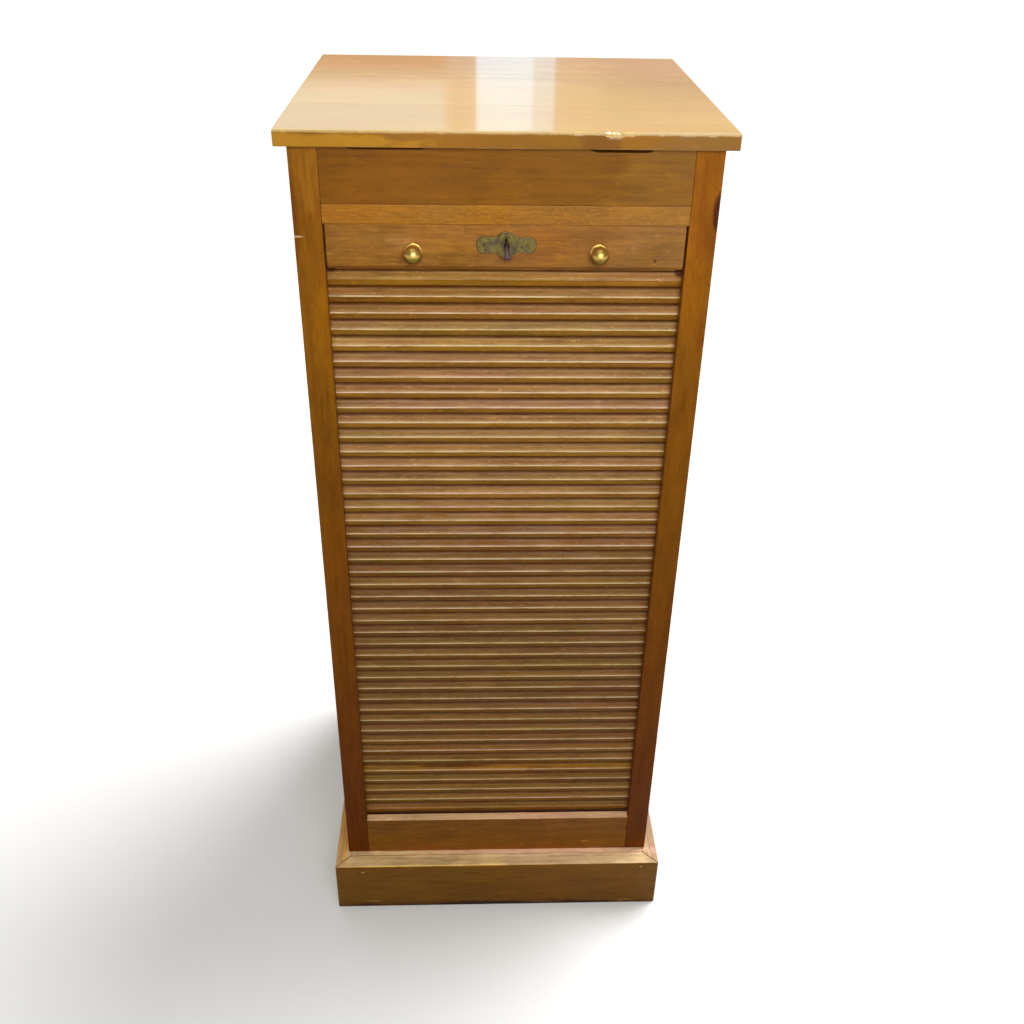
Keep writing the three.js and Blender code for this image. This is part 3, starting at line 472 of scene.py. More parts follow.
def metal(name, colour, tarnish, roughness, spots, patina, facing_colour=None, facing_limits=()):
    """Metal with patches of tarnish, dirt in its hollows, painted shade along a plate's outline and on one
    side when asked, fine scratches and a bump that follows both.
    """
    material, tree = new_material(name)
    place = add(tree, "ShaderNodeTexCoord", None, "Object")
    cloud = add(tree, NOISE, {"Vector": place, "Scale": spots, "Detail": 3, "Roughness": 0.6})
    fine = add(tree, NOISE, {"Vector": place, "Scale": spots * 6, "Detail": 2, "Roughness": 0.6})
    lines = add(tree, VECTOR, {0: place, 1: (2400, 700, 260)}, operation="MULTIPLY")
    scratch = add(tree, NOISE, {"Vector": lines, "Scale": 1, "Detail": 1})
    both = add(tree, MIX, {0: 0.25, 2: cloud, 3: fine})
    stain = add(tree, RANGE, {"Value": both, "From Min": 0.40, "From Max": 0.62, "To Max": patina}, **SMOOTH)
    wash = add(tree, MIX, {0: stain, FIRST: colour, SECOND: tarnish}, MIXED, **COLOURS)
    if facing_colour:
        # A painted shade darkens the side that faces one way: the knobs' lower half, and what faces up on the
        # steel
        film = facing_up(tree, *facing_limits)
        wash = add(tree, MIX, {0: film, FIRST: wash, SECOND: facing_colour}, MIXED, **COLOURS)
    # Dirt in the hollows, and painted shade along the key plate's outline
    grime = add(tree, ATTRIBUTE, None, "Fac", attribute_name="grime")
    dirt_and_shade_colour = shade(tarnish, (0.22, 0.2, 0.16))
    wash = add(tree, MIX, {0: grime, FIRST: wash, SECOND: dirt_and_shade_colour}, MIXED, **COLOURS)
    matt = add(tree, RANGE, {"Value": stain, "To Min": roughness, "To Max": roughness + 0.2})
    relief = add(tree, MATH, {0: scratch, 1: 0.4, 2: cloud}, operation="MULTIPLY_ADD")
    bump = add(tree, "ShaderNodeBump", {"Strength": 0.25, "Distance": 0.05 * MM, "Height": relief})
    surface = add(tree, "ShaderNodeBsdfPrincipled", {
        "Base Color": wash, "Metallic": 1.0, "Roughness": matt, "Normal": bump})
    add(tree, "ShaderNodeOutputMaterial", {"Surface": surface})
    return material


def canvas_cloth(name, colour):
    """Plain-woven linen stiffened with glue: threads 1.2 mm apart, drawn coarser than real ones."""
    material, tree = new_material(name)
    place = add(tree, "ShaderNodeTexCoord", None, "Object")
    turns = add(tree, VECTOR, {0: place, "Scale": 2 * math.pi / (1.2 * MM)}, operation="SCALE")
    waves = add(tree, VECTOR, {0: turns}, operation="SINE")
    warp = add(tree, AXES, {0: waves}, "X")
    weft = add(tree, AXES, {0: waves}, "Z")
    crossing = add(tree, MATH, {0: warp, 1: weft}, operation="MULTIPLY")
    weave = add(tree, RANGE, {"Value": crossing, "From Min": -1})
    blotch = add(tree, NOISE, {"Vector": place, "Scale": 14, "Detail": 3, "Roughness": 0.6})
    glue = add(tree, RANGE, {"Value": blotch, "From Min": 0.35, "From Max": 0.7})
    crown = add(tree, MATH, {0: weave, 1: 0.35}, operation="MULTIPLY")
    wash = colour
    for share, factors in ((glue, (0.55, 0.47, 0.36)), (crown, (0.4, 0.38, 0.33))):
        wash = add(tree, MIX, {0: share, FIRST: wash, SECOND: shade(colour, factors)}, MIXED, **COLOURS)
    bump = add(tree, "ShaderNodeBump", {"Strength": 0.6, "Distance": 0.2 * MM, "Height": weave})
    shader = add(tree, "ShaderNodeBsdfPrincipled", {
        "Base Color": wash, "Roughness": 0.95, "Normal": bump, "Specular IOR Level": 0.2})
    add(tree, "ShaderNodeOutputMaterial", {"Surface": shader})
    return material


def make_materials():
    """Every finish of the cabinet, by a short key."""
    colours = bpy.context.scene.cabinet_colours
    ring = bpy.context.scene.cabinet_sizes.ring_spacing
    shades = {name: tuple(getattr(colours, name)) for name in CabinetColours.__annotations__}
    bare_and_highlight_colour = shades["raw_oak"]
    dusty = {"facing_colour": shades["dust"]}
    # Painted light, with some sun fading, on the upper faces of the bottom rail and the plinth
    painted_upper_light = {"facing_colour": shades["ledge"], "film_share": 1.0}
    with_sheen = {"painted_sheen": shades["painted_sheen"]}
    return {
        # French-polished oak, faded by the sun: honey coloured with a clear soft gloss
        "top": wood(
            "French-Polished Oak, Faded", shades["top_oak"], bare_and_highlight_colour, ring, figure=0.08, streaks=0.06, pores=0.05,
            flecks=0.15, patches=1.0, mottle=0.22, contrast=0.42, satin=0.3, wear=0.75, coat=1.0,
            facing_colour=shades["faded_oak"], film_share=1.0, film_drift=0.05, variety=0.25, marks=TOP_MARKS,
            shades=TOP_SHADES),
        # Polished oak cut along the trunk: golden brown, satin, with dark pores and a painted falloff of
        # light
        "frame": wood(
            "Polished Oak, Stiles", shades["frame_oak"], bare_and_highlight_colour, ring, figure=0.15, streaks=0.35, pores=0.35,
            flecks=0.12, mottle=0.7, wear=0.45, film_share=0.4, foot=(0.64, 0.45, 0.08),
            head=(1.05, 1.14, 1.25), gloss=0.12, variety=0.15, marks=FRAME_MARKS, **dusty),
        "frieze": wood(
            "Polished Oak, Frieze", shades["frieze_oak"], bare_and_highlight_colour, ring, figure=0.2, streaks=0.35, pores=0.4,
            flecks=0.3, wear=0.35, sheen_share=0.03, marks=FRIEZE_MARKS, **with_sheen),
        "base": wood(
            "Polished Oak, Bottom Rail", shades["base_oak"], bare_and_highlight_colour, ring, figure=0.2, streaks=0.45, pores=0.35,
            flecks=0.3, mottle=0.6, wear=0.45, marks=BASE_MARKS, **painted_upper_light),
        # Quarter-sawn oak: the ray flecks show as small pale dashes
        "strike": wood(
            "Quarter-Sawn Oak, Strike Rail", shades["strike_oak"], bare_and_highlight_colour, ring * 0.5, figure=0.2, streaks=0.4,
            pores=0.4, flecks=0.32, mottle=0.6, wear=0.3, sheen_share=0.12, fleck_scale=560, fleck_from=0.54,
            **with_sheen),
        "lead": wood(
            "Handled Oak, Lead Rail", shades["lead_oak"], bare_and_highlight_colour, ring, figure=0.2, streaks=0.6, pores=0.3,
            flecks=0.35, patches=0.6, mottle=0.7, wear=0.35, sheen_share=0.14, fleck_scale=260,
            marks=RAIL_MARKS, **with_sheen),
        # Oak slats with little polish left: dry, dusty, each from another board, with painted highlights on
        # the ridges and painted shade in the quirks
        "slat": wood(
            "Dry Oak, Slats", shades["slat_oak"], shades["ridge_oak"], ring, figure=0.25, streaks=0.6,
            flecks=0.45, fleck_scale=300, patches=0.4, satin=0.4, gloss=0.15, wear=0.5, film_share=0.8,
            film_from=-0.05, variety=0.72, dirt_and_shade_tint=(0.4, 0.25, 0.12), ridges=True, marks=SLAT_MARKS,
            **dusty),
        "plinth": wood(
            "Polished Oak, Plinth", shades["plinth_oak"], bare_and_highlight_colour, ring, figure=0.2, streaks=0.35, pores=0.35,
            flecks=0.25, mottle=0.6, wear=0.9, variety=0.1, marks=PLINTH_MARKS, **painted_upper_light),
        # Planed softwood that was never polished: pale and matt, darkened by dust
        "inner": wood(
            "Unpolished Pine", shades["inner_wood"], bare_and_highlight_colour, ring * 1.2, figure=0.55, streaks=0.35, pores=0.0,
            flecks=0.0, patches=0.6, satin=0.72, wear=0.2),
        # Spun brass, lacquer gone: bright above, with a painted olive shade below
        "brass": metal(
            "Spun Brass", shades["brass"], shades["dull_brass"], 0.33, 160, 0.5,
            facing_colour=shades["brass_film"], facing_limits=(0.16, -0.25, 0.85)),
        # Pressed brass left to tarnish: olive with purple-grey patches
        "tarnish": metal("Tarnished Pressed Brass", shades["tarnish"], shades["patina"], 0.34, 120, 0.9),
        "case": metal("Sand-Cast Brass", shades["cast_brass"], shades["brown_brass"], 0.4, 60, 0.6),
        # Forged steel with a thin rust film, and a painted black shade on what faces up
        "steel": metal(
            "Forged Steel", shades["steel"], shades["rust"], 0.42, 130, 0.8,
            facing_colour=shades["soot"], facing_limits=(-0.1, 0.35, 0.9)),
        "canvas": canvas_cloth("Glued Linen Canvas", shades["canvas"]),
    }


# Meshes

def add_piece(name, mesh, material, body, slot, *nodes):
    """Puts a finished mesh into the scene as a piece that rides on a body."""
    piece = bpy.data.objects.new(name, mesh)
    bpy.context.scene.collection.objects.link(piece)
    mesh.materials.clear()
    mesh.materials.append(material)
    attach(piece, body)
    if nodes:
        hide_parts(*nodes)
    return piece


def mesh_from(shape, name):
    mesh = bpy.data.meshes.new(name)
    shape.to_mesh(mesh)
    shape.free()
    return mesh


def skin(shape, rings):
    """Faces between rings of corners, each with the next. A ring of one corner is a point."""
    for near, far in zip(rings, rings[1:]):
        count = max(len(near), len(far))
        for index in range(count):
            after = (index + 1) % count
            corners = (near[index % len(near)], near[after % len(near)],
                       far[after % len(far)], far[index % len(far)])
            unique = list(dict.fromkeys(corners))
            if len(unique) > 2:
                shape.faces.new(unique)


def outward(shape):
    bmesh.ops.recalc_face_normals(shape, faces=shape.faces)


def softened(shape):
    """Shades a mesh smooth, but for the edges where its faces meet at more than 40 degrees."""
    for edge in shape.edges:
        edge.smooth = edge.calc_face_angle(0) < math.radians(40)
    for face in shape.faces:
        face.smooth = True


def merged_copy(node):
    """A CAD node's mesh with its corners merged and its flat faces whole."""
    shape = bmesh.new()
    shape.from_mesh(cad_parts[node].data)
    bmesh.ops.remove_doubles(shape, verts=shape.verts, dist=MERGE)
    bmesh.ops.dissolve_limit(shape, angle_limit=math.radians(0.5), verts=shape.verts, edges=shape.edges)
    return shape


def rounded(shape, width, least=30):
    """Rounds the edges where faces meet at more than the least angle, and returns the new faces."""
    edges = [edge for edge in shape.edges
             if edge.is_manifold and edge.calc_face_angle(0) > math.radians(least)]
    made = bmesh.ops.bevel(shape, geom=edges, offset=width, offset_type="OFFSET", segments=2,
                           profile=0.5, affect="EDGES", clamp_overlap=True)
    return made["faces"]


def boxed(low, high, ease):
    """A box with eased edges, from its corners in millimetres."""
    shape = bmesh.new()
    bmesh.ops.create_cube(shape, size=1)
    for vertex in shape.verts:
        vertex.co = [(low[axis] if vertex.co[axis] < 0 else high[axis]) * MM for axis in range(3)]
    rounded(shape, ease * MM)
    return shape


def place_in_log(seed):
    """A board's offset from the pith, in metres, and its tone from 0 to 1."""
    draw = random.Random(seed)
    return (draw.uniform(0, 40), draw.uniform(-0.03, 0.03), draw.uniform(0.035, 0.11)), draw.random()


def set_grain(mesh, name, planks=None):
    """Writes the grain attribute: along, across and through the board, in metres, and the board's tone."""
    points = [vertex.co for vertex in mesh.vertices]
    low = Vector([min(point[axis] for point in points) for axis in range(3)])
    high = Vector([max(point[axis] for point in points) for axis in range(3)])
    order = sorted(range(3), key=lambda axis: low[axis] - high[axis])
    middle = (low + high) / 2
    shift, tone = place_in_log(name)
    grain = mesh.attributes.new("grain", "FLOAT_VECTOR", "CORNER")
    tones = mesh.attributes.new("tone", "FLOAT", "FACE")
    for face in mesh.polygons:
        if planks:
            shift, tone = place_in_log(f"{name} {planks(face.center)}")
        for corner in face.loop_indices:
            local = points[mesh.loops[corner].vertex_index] - middle
            grain.data[corner].vector = [local[order[axis]] + shift[axis] for axis in range(3)]
        tones.data[face.index].value = tone


ABOVE_PLINTH = 0.094


def worn_all_round(place):
    """An arris that hands and dusters have rubbed: its wear and its grime."""
    return 0.95, 0.0


def flush_joint(place):
    """An arris that meets its neighbour flush, and has gathered polish and dirt, but not above the plinth."""
    return (0.5, 0.0) if place.z < ABOVE_PLINTH else (0.1, 1.0)


def stile_arris(place):
    """A front stile is rubbed outside, and dirty where the rails and the slats meet it."""
    inside = abs(place.x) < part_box("front_stile_right")[1].x - 5 * MM and place.z > ABOVE_PLINTH
    return (0.1, 1.0) if inside else (0.8, 0.0)


def dressed(shape, node, arris, state):
    """A board's mesh with its edges eased, its grain laid along it and its arrises worn or dirty."""
    arrises = set(rounded(shape, arris))
    worn_layer = shape.faces.layers.float.new("worn")
    dirt_and_shade_layer = shape.faces.layers.float.new("grime")
    for face in shape.faces:
        face.smooth = face in arrises
        if face in arrises:
            face[worn_layer], face[dirt_and_shade_layer] = state(face.calc_center_median())
    mesh = mesh_from(shape, node)
    set_grain(mesh, node)
    return mesh


def board_piece(node, material, slot, arris, state=worn_all_round, body="cabinet"):
    """A CAD board, dressed, as a piece that stands in for its node."""
    mesh = dressed(merged_copy(node), node, arris, state)
    add_piece(f"{node}_dressed", mesh, material, body, slot, node)


SIDES = ("left", "right")
FRAME_NODES = [
    "front_stile_left", "front_stile_right", *(f"side_{side}_{part}" for side in SIDES for part in (
        "front_stile", "rear_stile", "top_rail", "middle_rail", "bottom_rail", "upper_panel", "lower_panel"))]
INNER_NODES = [
    *(f"{part}_{side}" for side in SIDES for part in (
        "top_cleat", "liner", "track_block_front", "track_block_rear", "plinth_block_front",
        "plinth_block_rear")),
    *(f"shelf_{number}" for number in (1, 2, 3, 4)), *(f"back_board_{number}" for number in (1, 2, 3)),
    "inner_floor", "inner_top", "false_back", "carcase_bottom", "back_rail"]

looks = {}


class CABINET_OT_boards(bpy.types.Operator):
    """Dress the carcase boards, the side frames, the inner case and the back"""
    bl_idname = "cabinet.boards"
    bl_label = "Dress Boards"

    def execute(self, context):
        sizes = context.scene.cabinet_sizes
        for node in FRAME_NODES:
            board_piece(node, looks["frame"], "oak", sizes.arris, stile_arris)
        board_piece("strike_rail", looks["strike"], "oak", sizes.arris, flush_joint)
        board_piece("bottom_rail", looks["base"], "oak", sizes.arris, flush_joint)
        for side in ("front", "left", "right", "back"):
            board_piece(f"plinth_{side}", looks["plinth"], "plinth_oak", sizes.arris * 1.6)
        for node in INNER_NODES:
            board_piece(node, looks["inner"], "inner_wood", sizes.inner_arris)
        board_piece("plinth_packing_strip", looks["plinth"], "inner_wood", sizes.inner_arris)
        board_piece("lead_rail", looks["lead"], "oak", sizes.arris, body="shutter")
        return {"FINISHED"}


FRIEZE_STEP = 4.0

# Where the frieze was planed too low under the top: from and to along X, and how much, in millimetres
FRIEZE_LOWS = ((86, 156, 5.6), (-172, -84, 4.3))

# A low place begins with half its depth, and takes this many millimetres more to reach all of it
FRIEZE_SLOPE = 3.0


def planed_low(x):
    """How far the frieze's upper edge lies below its proper height at x, in millimetres."""
    low = 0.0
    for start, end, depth in FRIEZE_LOWS:
        inside = min(x / MM - start, end - x / MM)
        if inside > 0:
            low = max(low, depth * min(1, 0.5 + 0.5 * inside / FRIEZE_SLOPE))
    return low


class CABINET_OT_frieze(bpy.types.Operator):
    """Plane the frieze board, whose upper edge leaves dark gaps under the top"""
    bl_idname = "cabinet.frieze"
    bl_label = "Plane Frieze"

    def execute(self, context):
        low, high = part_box("frieze_board")
        shape = merged_copy("frieze_board")
        steps = round((high.x - low.x) / (FRIEZE_STEP * MM))
        for step in range(1, steps):
            x = low.x + (high.x - low.x) * step / steps
            bmesh.ops.bisect_plane(
                shape, geom=[*shape.verts, *shape.edges, *shape.faces], plane_co=(x, 0, 0),
                plane_no=(1, 0, 0))
        for vertex in shape.verts:
            if vertex.co.z > high.z - 1 * MM:
                vertex.co.z -= planed_low(vertex.co.x) * MM
        mesh = dressed(shape, "frieze_board", context.scene.cabinet_sizes.arris, flush_joint)
        add_piece("frieze_board_planed", mesh, looks["frieze"], "cabinet", "oak", "frieze_board")
        return {"FINISHED"}


PLANK_JOINTS = (-0.088, 0.071)
PLANK_GROOVE_HALF = 0.5
PLANK_GROOVE_DEPTH = 0.22
TOP_STEPS = 240
TOP_EASE = 1.3

# The front arris is rounded further by hand, and below it lies the strip that chips reach into
TOP_FRONT_EASE = 0.6
TOP_CHIP_STRIP = 2.4

# Middle of the chip along X and its half length in millimetres, then its depth as a share of the worst
CHIPS = (
    (111, 12, 1.0), (126, 7, 0.35), (158, 4, 0.1), (186, 9, 0.08), (-228, 4, 0.15), (72, 6, 0.12),
    (211, 6, 0.12))

# How far a chip moves the arris's three corners back and down, as shares of its depth
BITE_BACK = (0.9, 1.0, 1.5)
BITE_DOWN = (1.3, 0.9, 0.35)


def chip_at(x, draw):
    """How much of the front arris is gone at x, as a share of the worst chip."""
    gone = 0.0
    for middle, half, depth in CHIPS:
        near = 1 - abs(x / MM - middle) / half
        if near > 0:
            gone = max(gone, depth * min(1, near * 1.8) * draw.uniform(0.8, 1.0))
    return gone


def top_section(low, high):
    """The top board's outline (Y, Z) from the front's lower edge up over the front arris and back along the
    top, and the place in it of the arris's first corner."""
    ease = TOP_EASE * MM
    corner = ease * 0.3
    section = [(low.y + ease, low.z), (low.y + corner, low.z + corner), (low.y, low.z + ease)]
    for step in range(1, 5):
        section.append((low.y, low.z + ease + (high.z - low.z - 2 * ease - TOP_CHIP_STRIP * MM) * step / 4))
    front = len(section)
    section += [(low.y + 0.1 * MM, high.z - ease - TOP_FRONT_EASE * MM), (low.y + corner, high.z - corner),
                (low.y + ease + TOP_FRONT_EASE * MM, high.z), (low.y + 4.5 * MM, high.z),
                (low.y + 9 * MM, high.z)]
    for joint in PLANK_JOINTS:
        section += [(joint - PLANK_GROOVE_HALF * MM, high.z), (joint, high.z - PLANK_GROOVE_DEPTH * MM),
                    (joint + PLANK_GROOVE_HALF * MM, high.z)]
    section += [(high.y - ease, high.z), (high.y - corner, high.z - corner), (high.y, high.z - ease),
                (high.y, low.z + ease), (high.y - corner, low.z + corner), (high.y - ease, low.z)]
    return section, front


class CABINET_OT_top(bpy.types.Operator):
    """Build the top board from three planks, with rounded edges and a chipped front arris"""
    bl_idname = "cabinet.top"
    bl_label = "Build Top Board"

    def execute(self, context):
        depth = context.scene.cabinet_sizes.chip_depth
        low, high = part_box("top_board")
        ease = TOP_EASE * MM
        section, front = top_section(low, high)
        shape = bmesh.new()
        worn_layer = shape.verts.layers.float.new("worn")
        draw = random.Random("front arris")
        start = [low.x, low.x + ease * 0.3, low.x + ease]
        steps = [start[-1] + (high.x - low.x - 2 * ease) * step / TOP_STEPS for step in range(1, TOP_STEPS)]
        places = start + steps + [high.x - ease, high.x - ease * 0.3, high.x]
        rows = []
        for number, x in enumerate(places):
            from_end = min(number, len(places) - 1 - number)
            inset = {0: ease, 1: ease * 0.3}.get(from_end, 0.0)
            gone = chip_at(x, draw)
            bite = gone * depth + draw.uniform(0.0, 0.2) * MM
            row = []
            for index, (y, z) in enumerate(section):
                y = min(max(y, low.y + inset), high.y - inset)
                z = min(max(z, low.z + inset), high.z - inset)
                worn = 0.0
                if front <= index <= front + 2:
                    y += bite * BITE_BACK[index - front]
                    z -= bite * BITE_DOWN[index - front]
                    worn = 0.95 + 1.2 * gone
                elif index == front - 1:
                    y += gone * depth * 0.25
                    z -= gone * depth * 0.45
                    worn = 1.2 * gone
                elif index == front + 3:
                    y += gone * depth * 0.6
                    z -= gone * depth * 0.1
                    worn = 1.2 * gone
                elif index in (1, len(section) - 5, len(section) - 2):
                    worn = 0.9
                vertex = shape.verts.new((x, y, z))
                vertex[worn_layer] = max(worn, 0.8) if from_end == 1 else worn
                row.append(vertex)
            rows.append(row)
        skin(shape, rows)
        shape.faces.new(rows[0])
        shape.faces.new(rows[-1])
        outward(shape)
        mesh = mesh_from(shape, "top_board_planks")
        set_grain(mesh, "top_board", lambda place: sum(place.y > joint for joint in PLANK_JOINTS))
        add_piece("top_board_planks", mesh, looks["top"], "cabinet", "top_oak", "top_board")
        return {"FINISHED"}


# Geometry Nodes

STORE = "GeometryNodeStoreNamedAttribute"
READ = "GeometryNodeInputNamedAttribute"
RANDOM = "FunctionNodeRandomValue"
REALIZE = "GeometryNodeRealizeInstances"
COPIES = "GeometryNodeInstanceOnPoints"


def new_tree(name, sockets):
    """A Geometry Nodes tree with named inputs."""
    tree = bpy.data.node_groups.new(name, "GeometryNodeTree")
    tree.interface.new_socket("Geometry", in_out="INPUT", socket_type="NodeSocketGeometry")
    for label, kind in sockets.items():
        tree.interface.new_socket(label, in_out="INPUT", socket_type=f"NodeSocket{kind}")
    tree.interface.new_socket("Geometry", in_out="OUTPUT", socket_type="NodeSocketGeometry")
    return tree, tree.nodes.new("NodeGroupInput").outputs, tree.nodes.new("NodeGroupOutput").inputs[0]


def evaluated(host, name):
    """The mesh that an object's modifiers make. The object is removed."""
    bpy.context.view_layer.update()
    depsgraph = bpy.context.evaluated_depsgraph_get()
    mesh = bpy.data.meshes.new_from_object(host.evaluated_get(depsgraph), depsgraph=depsgraph)
    mesh.name = name
    host.modifiers.clear()
    bpy.data.objects.remove(host)
    return mesh


def grown(host, tree, values, name):
    """The mesh that a tree makes of a host object, which is removed."""
    modifier = host.modifiers.new(tree.name, "NODES")
    modifier.node_group = tree
    for item in tree.interface.items_tree:
        if item.item_type == "SOCKET" and item.in_out == "INPUT" and item.name in values:
            modifier[item.identifier] = values[item.name]
    return evaluated(host, name)


def host_object(mesh):
    host = bpy.data.objects.new(mesh.name, mesh)
    bpy.context.scene.collection.objects.link(host)
    return host


def slat_tree():
    """Repeats one slat down the canvas, each turned, toned and waved a little differently."""
    tree, given, result = new_tree("Tambour Slats", {
        "Count": "Int", "Pitch": "Float", "First Slat": "Vector", "Wave": "Float", "Twist": "Float",
        "Seed": "Int", "Material": "Material"})
    down = add(tree, MATH, {0: given["Pitch"], 1: -1.0}, operation="MULTIPLY")
    step = add(tree, "ShaderNodeCombineXYZ", {"Z": down})
    row = add(tree, "GeometryNodeMeshLine", {
        "Count": given["Count"], "Start Location": given["First Slat"], "Offset": step}, mode="OFFSET")
    back_twist = add(tree, MATH, {0: given["Twist"], 1: -1.0}, operation="MULTIPLY")
    twist = add(tree, RANDOM, {"Min": back_twist, "Max": given["Twist"], "Seed": given["Seed"]}, 1,
                data_type="FLOAT")
    turn = add(tree, "ShaderNodeCombineXYZ", {"X": twist})
    copies = add(tree, COPIES, {"Points": row, "Instance": given["Geometry"], "Rotation": turn})

    # Each slat comes from its own place in the log, and takes the stain in its own way. The first slat and
    # the last two get no pale line of bare wood and painted highlight along their ridges
    tone = add(tree, RANDOM, {"Min": 0.0, "Max": 1.0, "Seed": given["Seed"]}, 1, data_type="FLOAT")
    number = add(tree, "GeometryNodeInputIndex")
    past_first = add(tree, MATH, {0: number, 1: 0.5}, operation="GREATER_THAN")
    last_shown = add(tree, MATH, {0: given["Count"], 1: -2.5}, operation="ADD")
    past_last = add(tree, MATH, {0: number, 1: last_shown}, operation="GREATER_THAN")
    rubbed = add(tree, MATH, {0: past_first, 1: past_last}, operation="SUBTRACT")
    log = add(tree, RANDOM, {"Min": (0, -0.03, 0.03), "Max": (40, 0.03, 0.1), "Seed": given["Seed"]},
              data_type="FLOAT_VECTOR")
    for label, value, kind in (
            ("tone", tone, "FLOAT"), ("rubbed", rubbed, "FLOAT"), ("log", log, "FLOAT_VECTOR")):
        copies = add(tree, STORE, {"Geometry": copies, "Name": label, "Value": value}, data_type=kind,
                     domain="INSTANCE")
    real = add(tree, REALIZE, {"Geometry": copies})
    shift = add(tree, READ, {"Name": "log"}, data_type="FLOAT_VECTOR")
    blank = add(tree, READ, {"Name": "blank"}, data_type="FLOAT_VECTOR")
    grain = add(tree, VECTOR, {0: blank, 1: shift}, operation="ADD")
    grained = add(tree, STORE, {"Geometry": real, "Name": "grain", "Value": grain},
                  data_type="FLOAT_VECTOR", domain="POINT")

    # The ridge was planed by hand, so it wanders up and down along the slat
    ridge = add(tree, READ, {"Name": "ridge"}, data_type="FLOAT")
    along = add(tree, VECTOR, {0: grain, 1: (9.0, 0.0, 0.0)}, operation="MULTIPLY")
    drift = add(tree, NOISE, {"Vector": along, "Scale": 1.0, "Detail": 2.0})
    centred = add(tree, MATH, {0: drift, 1: 0.5}, operation="SUBTRACT")
    weighted = add(tree, MATH, {0: centred, 1: ridge}, operation="MULTIPLY")
    height = add(tree, MATH, {0: weighted, 1: given["Wave"]}, operation="MULTIPLY")
    offset = add(tree, "ShaderNodeCombineXYZ", {"Z": height})
    waved = add(tree, "GeometryNodeSetPosition", {"Geometry": grained, "Offset": offset})
    slat_ridge_shown = add(tree, READ, {"Name": "rubbed"}, data_type="FLOAT")
    shown_ridge = add(tree, MATH, {0: ridge, 1: slat_ridge_shown}, operation="MULTIPLY")
    waved = add(tree, STORE, {"Geometry": waved, "Name": "ridge", "Value": shown_ridge},
                data_type="FLOAT", domain="POINT")
    whole = add(tree, REALIZE, {"Geometry": waved})
    last = add(tree, "GeometryNodeSetMaterial", {"Geometry": whole, "Material": given["Material"]})
    tree.links.new(last, result)
    return tree


SLAT_THICKNESS = 9.0
SLAT_HEIGHT = 19.74
SLAT_TWIST = 0.9
SLAT_STEPS = 40

# How far dirt with painted shade reaches from a slat's ends, and painted shade from its quirk, in millimetres
SLAT_END_DIRT_AND_SHADE = 16.0
SLAT_QUIRK_SHADE = 2.9

# Distance below the slat's top and depth behind its ridge, in millimetres, then the share of the ridge's
# pale line of wear and painted highlight: a quirk, a face that is hollowed out towards the ridge, and a
# face that falls back under it
SLAT_SECTION = (
    (0.0, 9.0, 0), (0.0, 4.6, 0), (0.35, 3.6, 0), (1.0, 2.8, 0), (2.0, 2.15, 0), (3.2, 1.85, 0),
    (5.0, 1.65, 0), (7.6, 1.42, 0), (8.6, 1.15, 0.05), (9.3, 0.78, 0.35), (9.8, 0.4, 0.85),
    (10.15, 0.1, 1.0), (10.45, 0.0, 1.0), (10.8, 0.04, 0.7), (11.5, 0.18, 0.1), (14.2, 0.5, 0),
    (16.3, 0.95, 0), (17.6, 1.7, 0), (18.6, 2.6, 0), (19.3, 3.6, 0), (19.74, 4.6, 0), (19.74, 9.0, 0))


def slat_mesh(half_length):
    """One slat about its own middle, with attributes for its ridge, its grain and its dark parts: painted
    shade in the quirk, and dirt with painted shade towards the ends.
    """
    shape = bmesh.new()
    ridge_layer = shape.verts.layers.float.new("ridge")
    blank_layer = shape.verts.layers.float_vector.new("blank")
    dirt_and_shade_layer = shape.verts.layers.float.new("grime")
    sections = []
    for step in range(SLAT_STEPS + 1):
        x = half_length * math.sin(math.pi / 2 * (2 * step / SLAT_STEPS - 1))
        from_end = (half_length - abs(x)) / MM
        section = []
        for down, depth, strength in SLAT_SECTION:
            y, z = (depth - SLAT_THICKNESS / 2) * MM, (SLAT_HEIGHT / 2 - down) * MM
            vertex = shape.verts.new((x, y, z))
            vertex[ridge_layer] = strength
            vertex[blank_layer] = (x, z, y)
            # Painted shade darkens the quirk, and dirt with painted shade darkens the ends
            from_quirk = min(down, SLAT_HEIGHT - down)
            vertex[dirt_and_shade_layer] = max(0.75 * (1 - from_end / SLAT_END_DIRT_AND_SHADE),
                                      min(1.0, 1.8 * (1 - from_quirk / SLAT_QUIRK_SHADE)), 0.0)
            section.append(vertex)
        sections.append(section)
    skin(shape, sections)
    shape.faces.new(sections[0])
    shape.faces.new(sections[-1])
    outward(shape)
    for face in shape.faces:
        face.smooth = True
    return mesh_from(shape, "slat")


class CABINET_OT_slats(bpy.types.Operator):
    """Repeat the slats down the shutter with Geometry Nodes"""
    bl_idname = "cabinet.slats"
    bl_label = "Build Slats"

    def execute(self, context):
        sizes = context.scene.cabinet_sizes
        low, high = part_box("tambour_curtain")
        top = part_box("lead_rail")[0].z - sizes.slat_gap
        count = round((top - low.z + sizes.slat_gap) / sizes.slat_pitch)
        first = (0, low.y + SLAT_THICKNESS / 2 * MM, top - SLAT_HEIGHT / 2 * MM)
        mesh = grown(host_object(slat_mesh(high.x)), slat_tree(), {
            "Count": count, "Pitch": sizes.slat_pitch, "First Slat": first, "Wave": sizes.slat_wave,
            "Twist": math.radians(SLAT_TWIST), "Seed": sizes.slat_seed, "Material": looks["slat"]},
            "tambour_slats")
        piece = add_piece("tambour_slats", mesh, looks["slat"], "shutter", "slat_oak", "tambour_curtain")
        squash_curtain(piece)
        return {"FINISHED"}


def squash_curtain(piece):
    """Gives the piece a mesh of its own. The real curtain draws together towards its lower end as the shutter
    slides down, because it runs round the bend into its track there."""
    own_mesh(piece)


